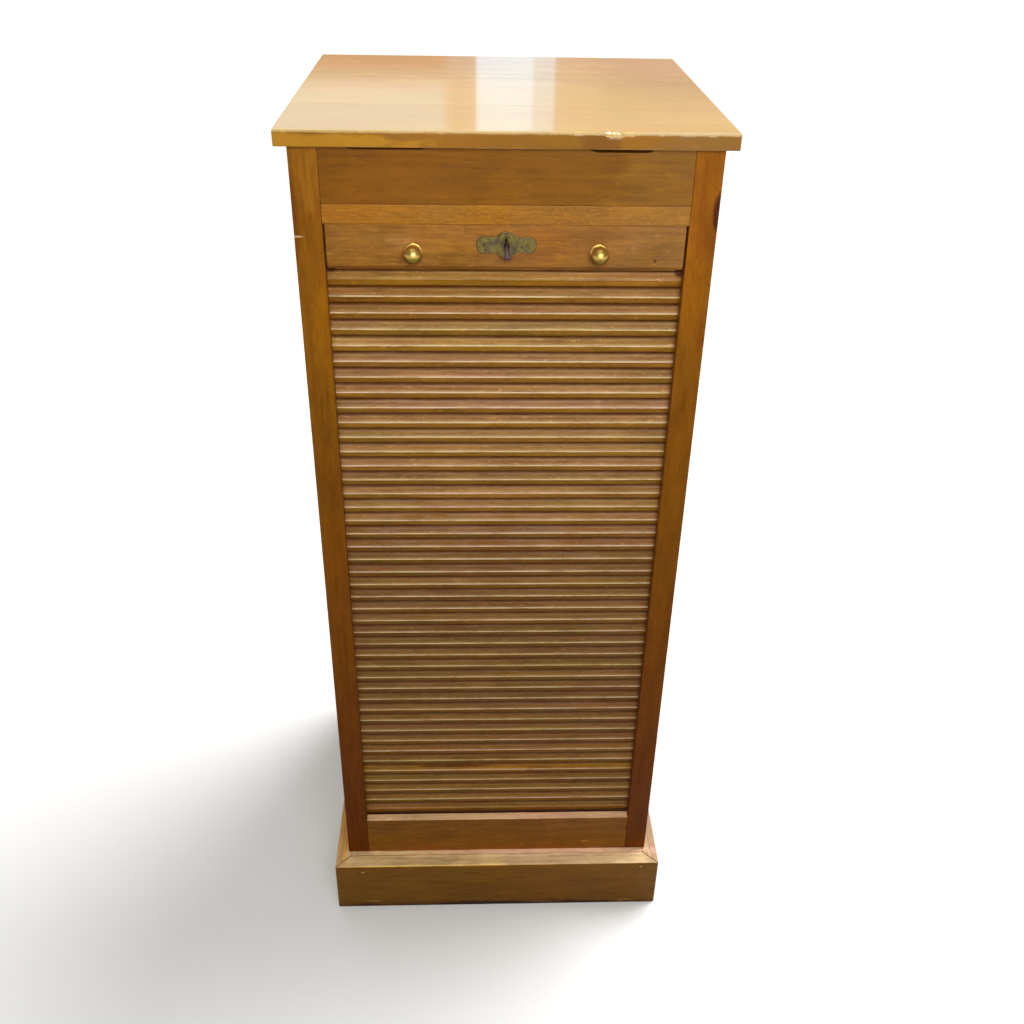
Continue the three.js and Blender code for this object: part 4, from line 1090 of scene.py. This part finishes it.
CANVAS_HALF = 181.0
CANVAS_THICKNESS = 0.8
CANVAS_ROWS = 90
CANVAS_COLUMNS = 12

# How far the selvedges wander to either side, in millimetres
CANVAS_WAVE = 0.6


class CABINET_OT_canvas(bpy.types.Operator):
    """Build the canvas that the slats are glued to, with its selvedges a little wavy"""
    bl_idname = "cabinet.canvas"
    bl_label = "Build Canvas"

    def execute(self, context):
        low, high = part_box("tambour_curtain")
        draw = random.Random("canvas")
        shape = bmesh.new()
        rings = []
        for step in range(CANVAS_ROWS + 1):
            z = high.z + (low.z - high.z) * step / CANVAS_ROWS
            left, right = [
                (side * CANVAS_HALF + draw.uniform(-CANVAS_WAVE, CANVAS_WAVE)) * MM for side in (-1, 1)]
            places = [left + (right - left) * number / CANVAS_COLUMNS for number in range(CANVAS_COLUMNS + 1)]
            near = [shape.verts.new((x, high.y - CANVAS_THICKNESS * MM, z)) for x in places]
            far = [shape.verts.new((x, high.y, z)) for x in reversed(places)]
            rings.append(near + far)
        skin(shape, rings)
        shape.faces.new(rings[0])
        shape.faces.new(rings[-1])
        outward(shape)
        mesh = mesh_from(shape, "canvas_backing")
        piece = add_piece("canvas_backing", mesh, looks["canvas"], "shutter", "canvas", "tambour_curtain")
        squash_curtain(piece)
        return {"FINISHED"}


# Brass and steel

def circle(shape, radius, steps, middle):
    """A ring of corners round a middle, across Y."""
    angles = [2 * math.pi * step / steps for step in range(steps)]
    return [shape.verts.new(middle + Vector((radius * math.cos(angle), 0, radius * math.sin(angle))))
            for angle in angles]


def turned(profile, steps, middle=(0, 0, 0)):
    """A turned solid that points to the front: its profile is (radius, distance in front), in millimetres."""
    shape = bmesh.new()
    rings = []
    for radius, out in profile:
        place = Vector(middle) + Vector((0, -out * MM, 0))
        rings.append(circle(shape, radius * MM, steps, place) if radius else [shape.verts.new(place)])
    skin(shape, rings)
    outward(shape)
    for face in shape.faces:
        face.smooth = True
    return shape


def arc(centre, radius, start, end, steps):
    """Points (across, along) of an arc in degrees: 0 points across and 90 along."""
    angles = [math.radians(start + (end - start) * step / steps) for step in range(steps + 1)]
    return [(centre[0] + radius * math.cos(angle), centre[1] + radius * math.sin(angle)) for angle in angles]


# Depth and radius of the hole for the knob's screw, in millimetres
KNOB_BORE = 9.0
KNOB_BORE_RADIUS = 2.3

# Radius of the bead round the rose, and how far in front of the rail the ball begins, in millimetres
KNOB_BEAD = 1.1
KNOB_BALL_START = 4.9

# However far out the ball's middle is, the ball begins at most this far behind it, in degrees
KNOB_BALL_MOST = 61


class CABINET_OT_knobs(bpy.types.Operator):
    """Turn the two brass knobs, each with its rose, bead, neck and ball"""
    bl_idname = "cabinet.knobs"
    bl_label = "Turn Knobs"

    def execute(self, context):
        for side in SIDES:
            low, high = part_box(f"knob_{side}")
            rose = (high.x - low.x) / 2 / MM
            centre = (high.y - low.y) / MM - rose
            profile = [(0, KNOB_BORE), (KNOB_BORE_RADIUS, KNOB_BORE), (KNOB_BORE_RADIUS, 0), (rose - 0.5, 0),
                       (rose, 0.4), (rose, 1.0), *arc((rose - KNOB_BEAD, 1.5), KNOB_BEAD, 0, 75, 8)[1:],
                       (rose * 0.78, 2.75), (rose * 0.66, 2.85), (5.4, 2.9), (4.7, 3.2), (4.2, 4.3)]
            # The ball is as wide as the rose
            start = min(KNOB_BALL_MOST, math.degrees(math.asin(min(1, (centre - KNOB_BALL_START) / rose))))
            profile += arc((0, centre), rose, -start, 90, 26)[:-1] + [(0, centre + rose)]
            shape = turned(profile, 72, ((low.x + high.x) / 2, high.y, (low.z + high.z) / 2))
            add_piece(f"brass_knob_{side}", mesh_from(shape, f"brass_knob_{side}"), looks["brass"],
                      "shutter", "brass", f"knob_{side}")
        return {"FINISHED"}


def combined(shape, tool, operation):
    """The first mesh joined with, or cut by, the second, as a new bmesh."""
    target = host_object(mesh_from(shape, "target"))
    other = host_object(mesh_from(tool, "tool"))
    modifier = target.modifiers.new("combine", "BOOLEAN")
    modifier.operation = operation
    modifier.solver = "EXACT"
    modifier.object = other
    mesh = evaluated(target, "combined")
    bpy.data.objects.remove(other)
    result = bmesh.new()
    result.from_mesh(mesh)
    bpy.data.meshes.remove(mesh)
    return result


def prism(outline, front, back):
    """A solid between two faces, from an outline (X, Z) in metres."""
    shape = bmesh.new()
    rings = [[shape.verts.new((x, y, z)) for x, z in outline] for y in (front, back)]
    skin(shape, rings)
    for ring in rings:
        shape.faces.new(ring)
    outward(shape)
    return shape


PLATE_LOBE_RADIUS = 9.7
PLATE_LOBE_PLACE = 23.5
PLATE_BAND_HALF = 9.2
PLATE_CENTRE_HALF = (13.5, 15.0)
PLATE_PIN_RISE = 10.4
PLATE_PIN_HEIGHT = 0.9
PLATE_SPOKES = 240
PLATE_RINGS = 34

# The keyhole's round part, its angles round the slot, and the slot's half width and lower end
KEYHOLE_RADIUS = 2.7
KEYHOLE_ANGLES = (-51, 231)
KEYHOLE_SLOT = (1.7, -9.5)


def plate_reach(angle):
    """How far the key plate reaches from its middle in a direction, in millimetres."""
    across, along = math.cos(angle), math.sin(angle)
    width, height = PLATE_CENTRE_HALF
    reach = 1 / math.sqrt((across / width) ** 2 + (along / height) ** 2)
    if abs(along) * PLATE_LOBE_PLACE < PLATE_LOBE_RADIUS:
        half = PLATE_LOBE_PLACE * abs(across)
        lobe = half + math.sqrt(max(0, half ** 2 - PLATE_LOBE_PLACE ** 2 + PLATE_LOBE_RADIUS ** 2))
        reach = max(reach, lobe)
    if abs(across) > 0.001:
        band = min(PLATE_LOBE_PLACE / abs(across), PLATE_BAND_HALF / max(abs(along), 0.001))
        reach = max(reach, band)
    return reach


def plate_grooves(x, z):
    """The engraved lines round the lobes and the middle, from 0 to 1."""
    width, height = PLATE_CENTRE_HALF
    oval = abs(math.hypot(x / (width - 2.4), z / (height - 2.4)) - 1) * 12
    groove = max(0, 1 - oval / 0.9)
    if abs(x) > width + 0.6:
        ring = abs(math.hypot(abs(x) - PLATE_LOBE_PLACE, z) - 6.9)
        groove = max(groove, 1 - ring / 0.8)
    return groove


PLATE_PINS = ((-PLATE_LOBE_PLACE, 0), (PLATE_LOBE_PLACE, 0), (0, PLATE_PIN_RISE))


def plate_dirt_and_shade(x, z, edge):
    """Dirt in the grooves and round the pins, and painted shade along the outline, from 0 to 1."""
    round_pins = max(1 - abs(math.hypot(x - across, z - rise) - 1.6) / 0.9 for across, rise in PLATE_PINS)
    return min(1, max(0.35 * plate_grooves(x, z), 0.8 * round_pins, 0.7 * (1 - edge / 0.9), 0))


def plate_relief(x, z, edge):
    """Height of the key plate's face: rolled edge, engraved lines and a crowned middle."""
    width, height = PLATE_CENTRE_HALF
    relief = -0.45 * max(0, 1 - edge / 1.1) ** 2 - 0.3 * plate_grooves(x, z)
    return relief + 0.25 * max(0, 1 - math.hypot(x / width, z / height) ** 2)


class CABINET_OT_key_plate(bpy.types.Operator):
    """Press the key plate with its two lobes and engraved lines"""
    bl_idname = "cabinet.key_plate"
    bl_label = "Press Key Plate"

    def execute(self, context):
        low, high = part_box("escutcheon")
        middle_x, middle_z = (low.x + high.x) / 2, (low.z + high.z) / 2
        face = low.y + PLATE_PIN_HEIGHT * MM
        shape = bmesh.new()
        dirt_and_shade_layer = shape.verts.layers.float.new("grime")
        rings = []
        for number in range(PLATE_RINGS + 1):
            share = math.sin(math.pi / 2 * number / PLATE_RINGS)
            ring = []
            for spoke in range(PLATE_SPOKES if share else 1):
                angle = 2 * math.pi * spoke / PLATE_SPOKES
                reach = plate_reach(angle)
                x, z = reach * share * math.cos(angle), reach * share * math.sin(angle)
                edge = reach * (1 - share)
                y = face - plate_relief(x, z, edge) * MM
                vertex = shape.verts.new((middle_x + x * MM, y, middle_z + z * MM))
                vertex[dirt_and_shade_layer] = plate_dirt_and_shade(x, z, edge)
                ring.append(vertex)
            rings.append(ring)
        rings.append([shape.verts.new((vertex.co.x, high.y, vertex.co.z)) for vertex in rings[-1]])
        rings.append([shape.verts.new((middle_x, high.y, middle_z))])
        skin(shape, rings)
        outward(shape)
        half, foot = KEYHOLE_SLOT
        outline = arc((0, 0), KEYHOLE_RADIUS, *KEYHOLE_ANGLES, 22) + [(-half, foot), (half, foot)]
        hole = [(middle_x + x * MM, middle_z + z * MM) for x, z in outline]
        shape = combined(shape, prism(hole, low.y - 2 * MM, high.y + 2 * MM), "DIFFERENCE")
        for vertex in shape.verts:
            vertex.co.y = max(vertex.co.y, low.y)
        softened(shape)
        add_piece("key_plate", mesh_from(shape, "key_plate"), looks["tarnish"], "shutter",
                  "tarnished_brass", "escutcheon")
        return {"FINISHED"}


KEY_TWIST = -5.0
KEY_BOW_LENGTH = 16.0
KEY_BOW_STEPS = 40

# Half depth and half height of the hole in the bow, in millimetres
KEY_BOW_HOLE = (1.8, 2.6)

# Across the bow: distance from its middle, and how far its rounded edge draws back there
KEY_BOW = ((-1.6, 1.3), (-1.5, 0.5), (-0.9, 0.0), (0.9, 0.0), (1.5, 0.5), (1.6, 1.3))

# The bow is worn thin above and flares below: what multiplies its thickness at mid height, and how much
# that grows from there down to its foot
KEY_FLARE = (1.45, 0.95)

# The collar: radius and distance in front of the bow's rear end, in millimetres
KEY_COLLAR = ((0, 1.5), (2.2, 1.5), (3.0, 0.6), (3.4, -0.6), (3.4, -1.8), (2.9, -2.6), (2.2, -3.2))

# The bit, in millimetres: half its thickness, its distance inside the link plate's front and back, and how
# far below the shaft's axis it starts and ends
KEY_BIT = (1.2, 2.2, 1.0, 9.0)


def key_bow(half):
    """The key's oval bow with its hole, about its middle, from its half height in millimetres."""
    shape = bmesh.new()
    outside, inside = [], []
    angles = [2 * math.pi * step / KEY_BOW_STEPS for step in range(KEY_BOW_STEPS)]
    for x, shrink in KEY_BOW:
        edge = (KEY_BOW_LENGTH / 2 - shrink, half - shrink)
        hole = (KEY_BOW_HOLE[0] + shrink * 0.6, KEY_BOW_HOLE[1] + shrink * 0.6)
        for rings, (depth, height) in ((outside, edge), (inside, hole)):
            rings.append([
                shape.verts.new((x * MM, depth * MM * math.cos(angle), height * MM * math.sin(angle)))
                for angle in angles])
    skin(shape, [*outside, *reversed(inside), outside[0]])
    for vertex in shape.verts:
        vertex.co.x *= KEY_FLARE[0] - KEY_FLARE[1] * vertex.co.z / (half * MM)
    outward(shape)
    return shape


class CABINET_OT_key(bpy.types.Operator):
    """Forge the key: an oval bow worn thin, a collar, the shaft and the bit"""
    bl_idname = "cabinet.key"
    bl_label = "Forge Key"

    def execute(self, context):
        low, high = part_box("key")
        middle_z = sum(corner.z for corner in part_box("escutcheon")) / 2
        shape = key_bow((high.z - middle_z) / MM)
        bmesh.ops.transform(
            shape, matrix=Matrix.Rotation(math.radians(KEY_TWIST), 4, "Y"), verts=shape.verts)
        bmesh.ops.translate(
            shape, verts=shape.verts, vec=(0, low.y + KEY_BOW_LENGTH / 2 * MM, middle_z))
        start = low.y + KEY_BOW_LENGTH * MM
        end = (start - high.y) / MM
        shaft = turned([*KEY_COLLAR, (2.2, end + 0.4), (1.9, end), (0, end)], 28, (0, start, middle_z))
        shape = combined(shape, shaft, "UNION")
        half, clearance, bit_top, bit_foot = KEY_BIT
        front, back = [corner.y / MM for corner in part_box("link_plate")]
        bit = boxed((-half, front + clearance, middle_z / MM - bit_foot),
                    (half, back - clearance, middle_z / MM - bit_top), 0.3)
        shape = combined(shape, bit, "UNION")
        softened(shape)
        add_piece("steel_key", mesh_from(shape, "steel_key"), looks["steel"], "key", "steel", "key")
        return {"FINISHED"}


class CABINET_OT_lock(bpy.types.Operator):
    """Dress the lock case, its bolt, the link plate and the knobs' screws"""
    bl_idname = "cabinet.lock"
    bl_label = "Dress Lock"

    def execute(self, context):
        for node, body, look, slot in (
                ("lock_case", "shutter", "case", "brass"), ("lock_bolt", "lock_bolt", "case", "brass"),
                ("link_plate", "cabinet", "case", "brass"), ("knob_screw_left", "shutter", "steel", "steel"),
                ("knob_screw_right", "shutter", "steel", "steel")):
            shape = merged_copy(node)
            rounded(shape, 0.25 * MM, 40)
            add_piece(f"{node}_dressed", mesh_from(shape, node), looks[look], body, slot, node)
        return {"FINISHED"}


def fixing_tree():
    """Puts one fixing at each point, with its slot turned at random."""
    tree, given, result = new_tree("Fixings", {
        "Part": "Object", "Turn": "Vector", "Seed": "Int", "Material": "Material"})
    part = add(tree, "GeometryNodeObjectInfo", {"Object": given["Part"]}, "Geometry")
    spin = add(tree, RANDOM, {"Min": 0.0, "Max": math.pi, "Seed": given["Seed"]}, 1, data_type="FLOAT")
    about = add(tree, "ShaderNodeCombineXYZ", {"Y": spin})
    copies = add(tree, COPIES, {"Points": given["Geometry"], "Instance": part, "Rotation": about})
    aimed = add(tree, "GeometryNodeRotateInstances", {"Instances": copies, "Rotation": given["Turn"]})
    real = add(tree, REALIZE, {"Geometry": aimed})
    last = add(tree, "GeometryNodeSetMaterial", {"Geometry": real, "Material": given["Material"]})
    tree.links.new(last, result)
    return tree


def screw_head(radius):
    """A countersunk screw's head with its slot, facing the front."""
    shape = turned([(0, -0.02), (radius * 0.7, -0.03), (radius * 0.94, -0.08), (radius, -0.25),
                    (radius * 0.5, -radius * 0.62), (0, -radius * 0.62)], 24)
    slot = boxed((-radius * 1.2, -1.0, -radius * 0.13), (radius * 1.2, 0.75, radius * 0.13), 0.02)
    return combined(shape, slot, "DIFFERENCE")


def pin_head(radius):
    """A domed pin's head."""
    return turned(
        [(0, 0.9), (radius * 0.45, 0.8), (radius * 0.8, 0.5), (radius, 0.0), (radius, -0.5), (0, -0.5)], 20)


def fixings(name, shape, places, turn, material, body, slot, seed):
    """Fixings at places in metres, as one piece that rides on a body."""
    part = host_object(mesh_from(shape, f"{name}_part"))
    points = bmesh.new()
    for place in places:
        points.verts.new(place)
    host = host_object(mesh_from(points, name))
    mesh = grown(host, fixing_tree(), {"Part": part, "Turn": turn, "Seed": seed, "Material": material}, name)
    bpy.data.objects.remove(part)
    add_piece(name, mesh, material, body, slot)


# Heights of the back boards' screws: above the lower end, two in metres, and under the upper end
BACK_SCREWS = (0.006, 0.45, 0.75, 0.02)
BACK_SCREW_INSET = 0.022
FACING_FRONT = (0, 0, 0)
FACING_BACK = (0, 0, math.pi)


class CABINET_OT_fixings(bpy.types.Operator):
    """Drive the back boards' screws, the lock's screws and the key plate's pins with Geometry Nodes"""
    bl_idname = "cabinet.fixings"
    bl_label = "Drive Fixings"

    def execute(self, context):
        places = []
        lowest, lower, upper, highest = BACK_SCREWS
        for number in (1, 2, 3):
            low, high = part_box(f"back_board_{number}")
            for z in (low.z + lowest, lower, upper, high.z - highest):
                places += [(low.x + BACK_SCREW_INSET, high.y, z), (high.x - BACK_SCREW_INSET, high.y, z)]
        fixings("back_screws", screw_head(3.6), places, FACING_BACK, looks["steel"], "cabinet", "steel", 3)

        low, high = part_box("escutcheon")
        face, middle_z = low.y + PLATE_PIN_HEIGHT * MM, (low.z + high.z) / 2
        places = [(across * MM, face, middle_z + rise * MM) for across, rise in PLATE_PINS]
        fixings("key_plate_pins", pin_head(1.3), places, FACING_FRONT, looks["case"], "shutter", "brass", 5)

        low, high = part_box("lock_case")
        places = [(side * (high.x - 2.5 * MM), high.y, z) for side in (-1, 1)
                  for z in (low.z + 7 * MM, high.z - 9 * MM)]
        fixings("lock_screws", screw_head(1.9), places, FACING_BACK, looks["steel"], "shutter", "steel", 9)
        return {"FINISHED"}


class CABINET_PT_panel(bpy.types.Panel):
    """Lists the cabinet's steps, sizes and colours"""
    bl_idname = "CABINET_PT_panel"
    bl_label = "Tambour Cabinet"
    bl_space_type = "VIEW_3D"
    bl_region_type = "UI"
    bl_category = "Cabinet"

    def draw(self, context):
        for step in STEPS:
            self.layout.operator(step.bl_idname)
        for group in (context.scene.cabinet_sizes, context.scene.cabinet_colours):
            column = self.layout.column(align=True)
            for name in group.__annotations__:
                column.prop(group, name)


# Stage

# The photograph's camera: its place in metres, its turns in radians and its lens in millimetres
CAMERA_PLACE = (-0.038766, -1.356687, 1.431714)
CAMERA_HEADING = -0.0438
CAMERA_TILT = -0.5476
CAMERA_ROLL = -0.0205
CAMERA_LENS = 37.958
CAMERA_SENSOR = 36
CAMERA_SHIFT = -0.0117

# Half the side of the floor, in metres
FLOOR_HALF = 30

# What the floor throws back on the cabinet, and how much it glows to the eye
FLOOR_BOUNCE = (0.07, 0.065, 0.06)
FLOOR_GLOW = 0.1


def lamp_object(name, kind, power, direction):
    """An object that holds a lamp, which shines in a direction."""
    lamp = bpy.data.lights.new(name, kind)
    lamp.energy = power
    holder = bpy.data.objects.new(name, lamp)
    bpy.context.scene.collection.objects.link(holder)
    holder.rotation_euler = Vector(direction).to_track_quat("-Z", "Y").to_euler()
    return holder


def soft_light(name, place, target, size, power, colour, spread):
    """A soft rectangular lamp that faces a point and shines within its spread, in degrees."""
    holder = lamp_object(name, "AREA", power, Vector(target) - Vector(place))
    holder.location = place
    lamp = holder.data
    lamp.shape = "RECTANGLE"
    lamp.size, lamp.size_y = size
    lamp.color = colour
    lamp.spread = math.radians(spread)


def sun_light(name, direction, strength, softness):
    """Light of one direction, as from a wide lamp far away. Its softness is an angle in degrees."""
    lamp_object(name, "SUN", strength, direction).data.angle = math.radians(softness)


def seen_directly(tree):
    """1 for rays that show the stage to the eye, straight, in gloss or through glass."""
    camera, gloss, glass = (
        add(tree, "ShaderNodeLightPath", None, f"Is {kind} Ray")
        for kind in ("Camera", "Glossy", "Transmission"))
    either = add(tree, MATH, {0: camera, 1: gloss}, operation="MAXIMUM")
    return add(tree, MATH, {0: either, 1: glass}, operation="MAXIMUM")


def floor_paint(colour):
    """Pale paint that takes the shadow. What it throws back on the cabinet is only that of a grey floor."""
    material, tree = new_material("Matt Painted Floor")
    seen = seen_directly(tree)
    paint = add(tree, MIX, {0: seen, FIRST: FLOOR_BOUNCE, SECOND: colour}, MIXED, **COLOURS)
    matt = add(tree, "ShaderNodeBsdfDiffuse", {"Color": paint, "Roughness": 0.0})
    share = add(tree, MATH, {0: seen, 1: FLOOR_GLOW}, operation="MULTIPLY")
    glow = add(tree, "ShaderNodeEmission", {"Color": (1, 1, 1), "Strength": share})
    both = add(tree, "ShaderNodeAddShader", {0: matt, 1: glow})
    add(tree, "ShaderNodeOutputMaterial", {"Surface": both})
    return material


WALL_EDGE = -0.016
WALL_SHADE = (0.166, 0.186)


def soft_room():
    """An even room. The polished top reflects what is low behind the cabinet: a shaded strip, and to the
    left of the window a wall that grows paler upwards."""
    world = bpy.data.worlds.new("Soft Room")
    world.use_nodes = True
    tree = world.node_tree
    tree.nodes.clear()
    direction = add(tree, "ShaderNodeTexCoord", None, "Generated")
    sideways, behind, upward = (add(tree, AXES, {0: direction}, axis) for axis in "XYZ")
    back = add(tree, RANGE, {"Value": behind, "From Min": -0.2, "From Max": 0.9}, **SMOOTH)
    left = add(tree, RANGE, {"Value": sideways, "From Min": WALL_EDGE, "From Max": WALL_EDGE - 0.01})
    left_wall = add(tree, MATH, {0: left, 1: back}, operation="MULTIPLY")
    high = add(tree, RANGE, {"Value": upward, "From Min": WALL_SHADE[0], "From Max": WALL_SHADE[1]}, **SMOOTH)
    paint = add(tree, MIX, {0: high, FIRST: (0.74, 0.42, 0.16), SECOND: (0.86, 0.94, 0.92)}, MIXED, **COLOURS)
    right = add(tree, RANGE, {"Value": sideways, "From Min": 0.10, "From Max": 0.125, "To Max": 0.5})
    right_wall = add(tree, MATH, {0: right, 1: back}, operation="MULTIPLY")
    ceiling = add(tree, RANGE, {"Value": upward, "From Min": 0.3, "From Max": 0.8}, **SMOOTH)
    room = (0.14, 0.135, 0.13)
    for share, colour in ((back, (0.78, 0.60, 0.43)), (left_wall, paint), (right_wall, (0.6, 0.5, 0.36)),
                          (ceiling, (0.3, 0.3, 0.29))):
        room = add(tree, MIX, {0: share, FIRST: room, SECOND: colour}, MIXED, **COLOURS)
    light = add(tree, "ShaderNodeBackground", {"Color": room, "Strength": 1.0})
    add(tree, "ShaderNodeOutputWorld", {"Surface": light})
    return world


class CABINET_OT_stage(bpy.types.Operator):
    """Set the pale floor, the soft light and the camera of the photograph"""
    bl_idname = "cabinet.stage"
    bl_label = "Set Stage"

    def execute(self, context):
        scene = context.scene
        scene.view_settings.view_transform = "Standard"
        shape = bmesh.new()
        bmesh.ops.create_grid(shape, x_segments=2, y_segments=2, size=FLOOR_HALF)
        floor = host_object(mesh_from(shape, "studio_floor"))
        floor.data.materials.append(floor_paint(tuple(scene.cabinet_colours.floor)))
        scene.world = soft_room()

        # Name, place, target, size, power, colour and spread
        soft_light("key_panel", (0.15, -1.4, 1.55), (0, -0.1, 1.05), (0.8, 0.5), 4.6, (1.0, 0.985, 0.95), 105)
        soft_light(
            "window_pane", (0.0765, 2.5, 2.0), (0.0765, 0, 2.0), (0.193, 1.3), 0.85, (0.31, 0.71, 1.0), 180)
        soft_light("side_pane", (0.21, 2.5, 2.0), (0.21, 0, 2.0), (0.073, 1.3), 0.19, (0.28, 0.70, 1.0), 180)
        sun_light("ceiling_light", (0.05, 0.05, -1), 0.4, 40)
        sun_light("side_light", (-0.6, -0.42, -1), 2.54, 36)

        camera = bpy.data.cameras.new("photo_camera")
        camera.lens = CAMERA_LENS
        camera.sensor_width = CAMERA_SENSOR
        camera.shift_y = CAMERA_SHIFT
        holder = bpy.data.objects.new("photo_camera", camera)
        scene.collection.objects.link(holder)
        turn = (Matrix.Rotation(CAMERA_HEADING, 4, "Z") @ Matrix.Rotation(CAMERA_TILT, 4, "X")
                @ Matrix.Rotation(CAMERA_ROLL, 4, "Y") @ Matrix.Rotation(math.pi / 2, 4, "X"))
        holder.matrix_world = Matrix.Translation(CAMERA_PLACE) @ turn
        scene.camera = holder
        return {"FINISHED"}


STEPS = (
    CABINET_OT_boards, CABINET_OT_frieze, CABINET_OT_top, CABINET_OT_slats, CABINET_OT_canvas,
    CABINET_OT_knobs, CABINET_OT_key_plate, CABINET_OT_key, CABINET_OT_lock, CABINET_OT_fixings,
    CABINET_OT_stage)
CLASSES = (CabinetColours, CabinetSizes, CABINET_PT_panel, *STEPS)


def register():
    for each in CLASSES:
        bpy.utils.register_class(each)
    bpy.types.Scene.cabinet_colours = PointerProperty(type=CabinetColours)
    bpy.types.Scene.cabinet_sizes = PointerProperty(type=CabinetSizes)


def unregister():
    del bpy.types.Scene.cabinet_sizes
    del bpy.types.Scene.cabinet_colours
    for each in reversed(CLASSES):
        bpy.utils.unregister_class(each)


def main():
    register()
    looks.update(make_materials())
    bpy.ops.cabinet.boards()
    bpy.ops.cabinet.frieze()
    bpy.ops.cabinet.top()
    bpy.ops.cabinet.slats()
    bpy.ops.cabinet.canvas()
    bpy.ops.cabinet.knobs()
    bpy.ops.cabinet.key_plate()
    bpy.ops.cabinet.key()
    bpy.ops.cabinet.lock()
    bpy.ops.cabinet.fixings()
    bpy.ops.cabinet.stage()


if __name__ == "__main__":
    main()
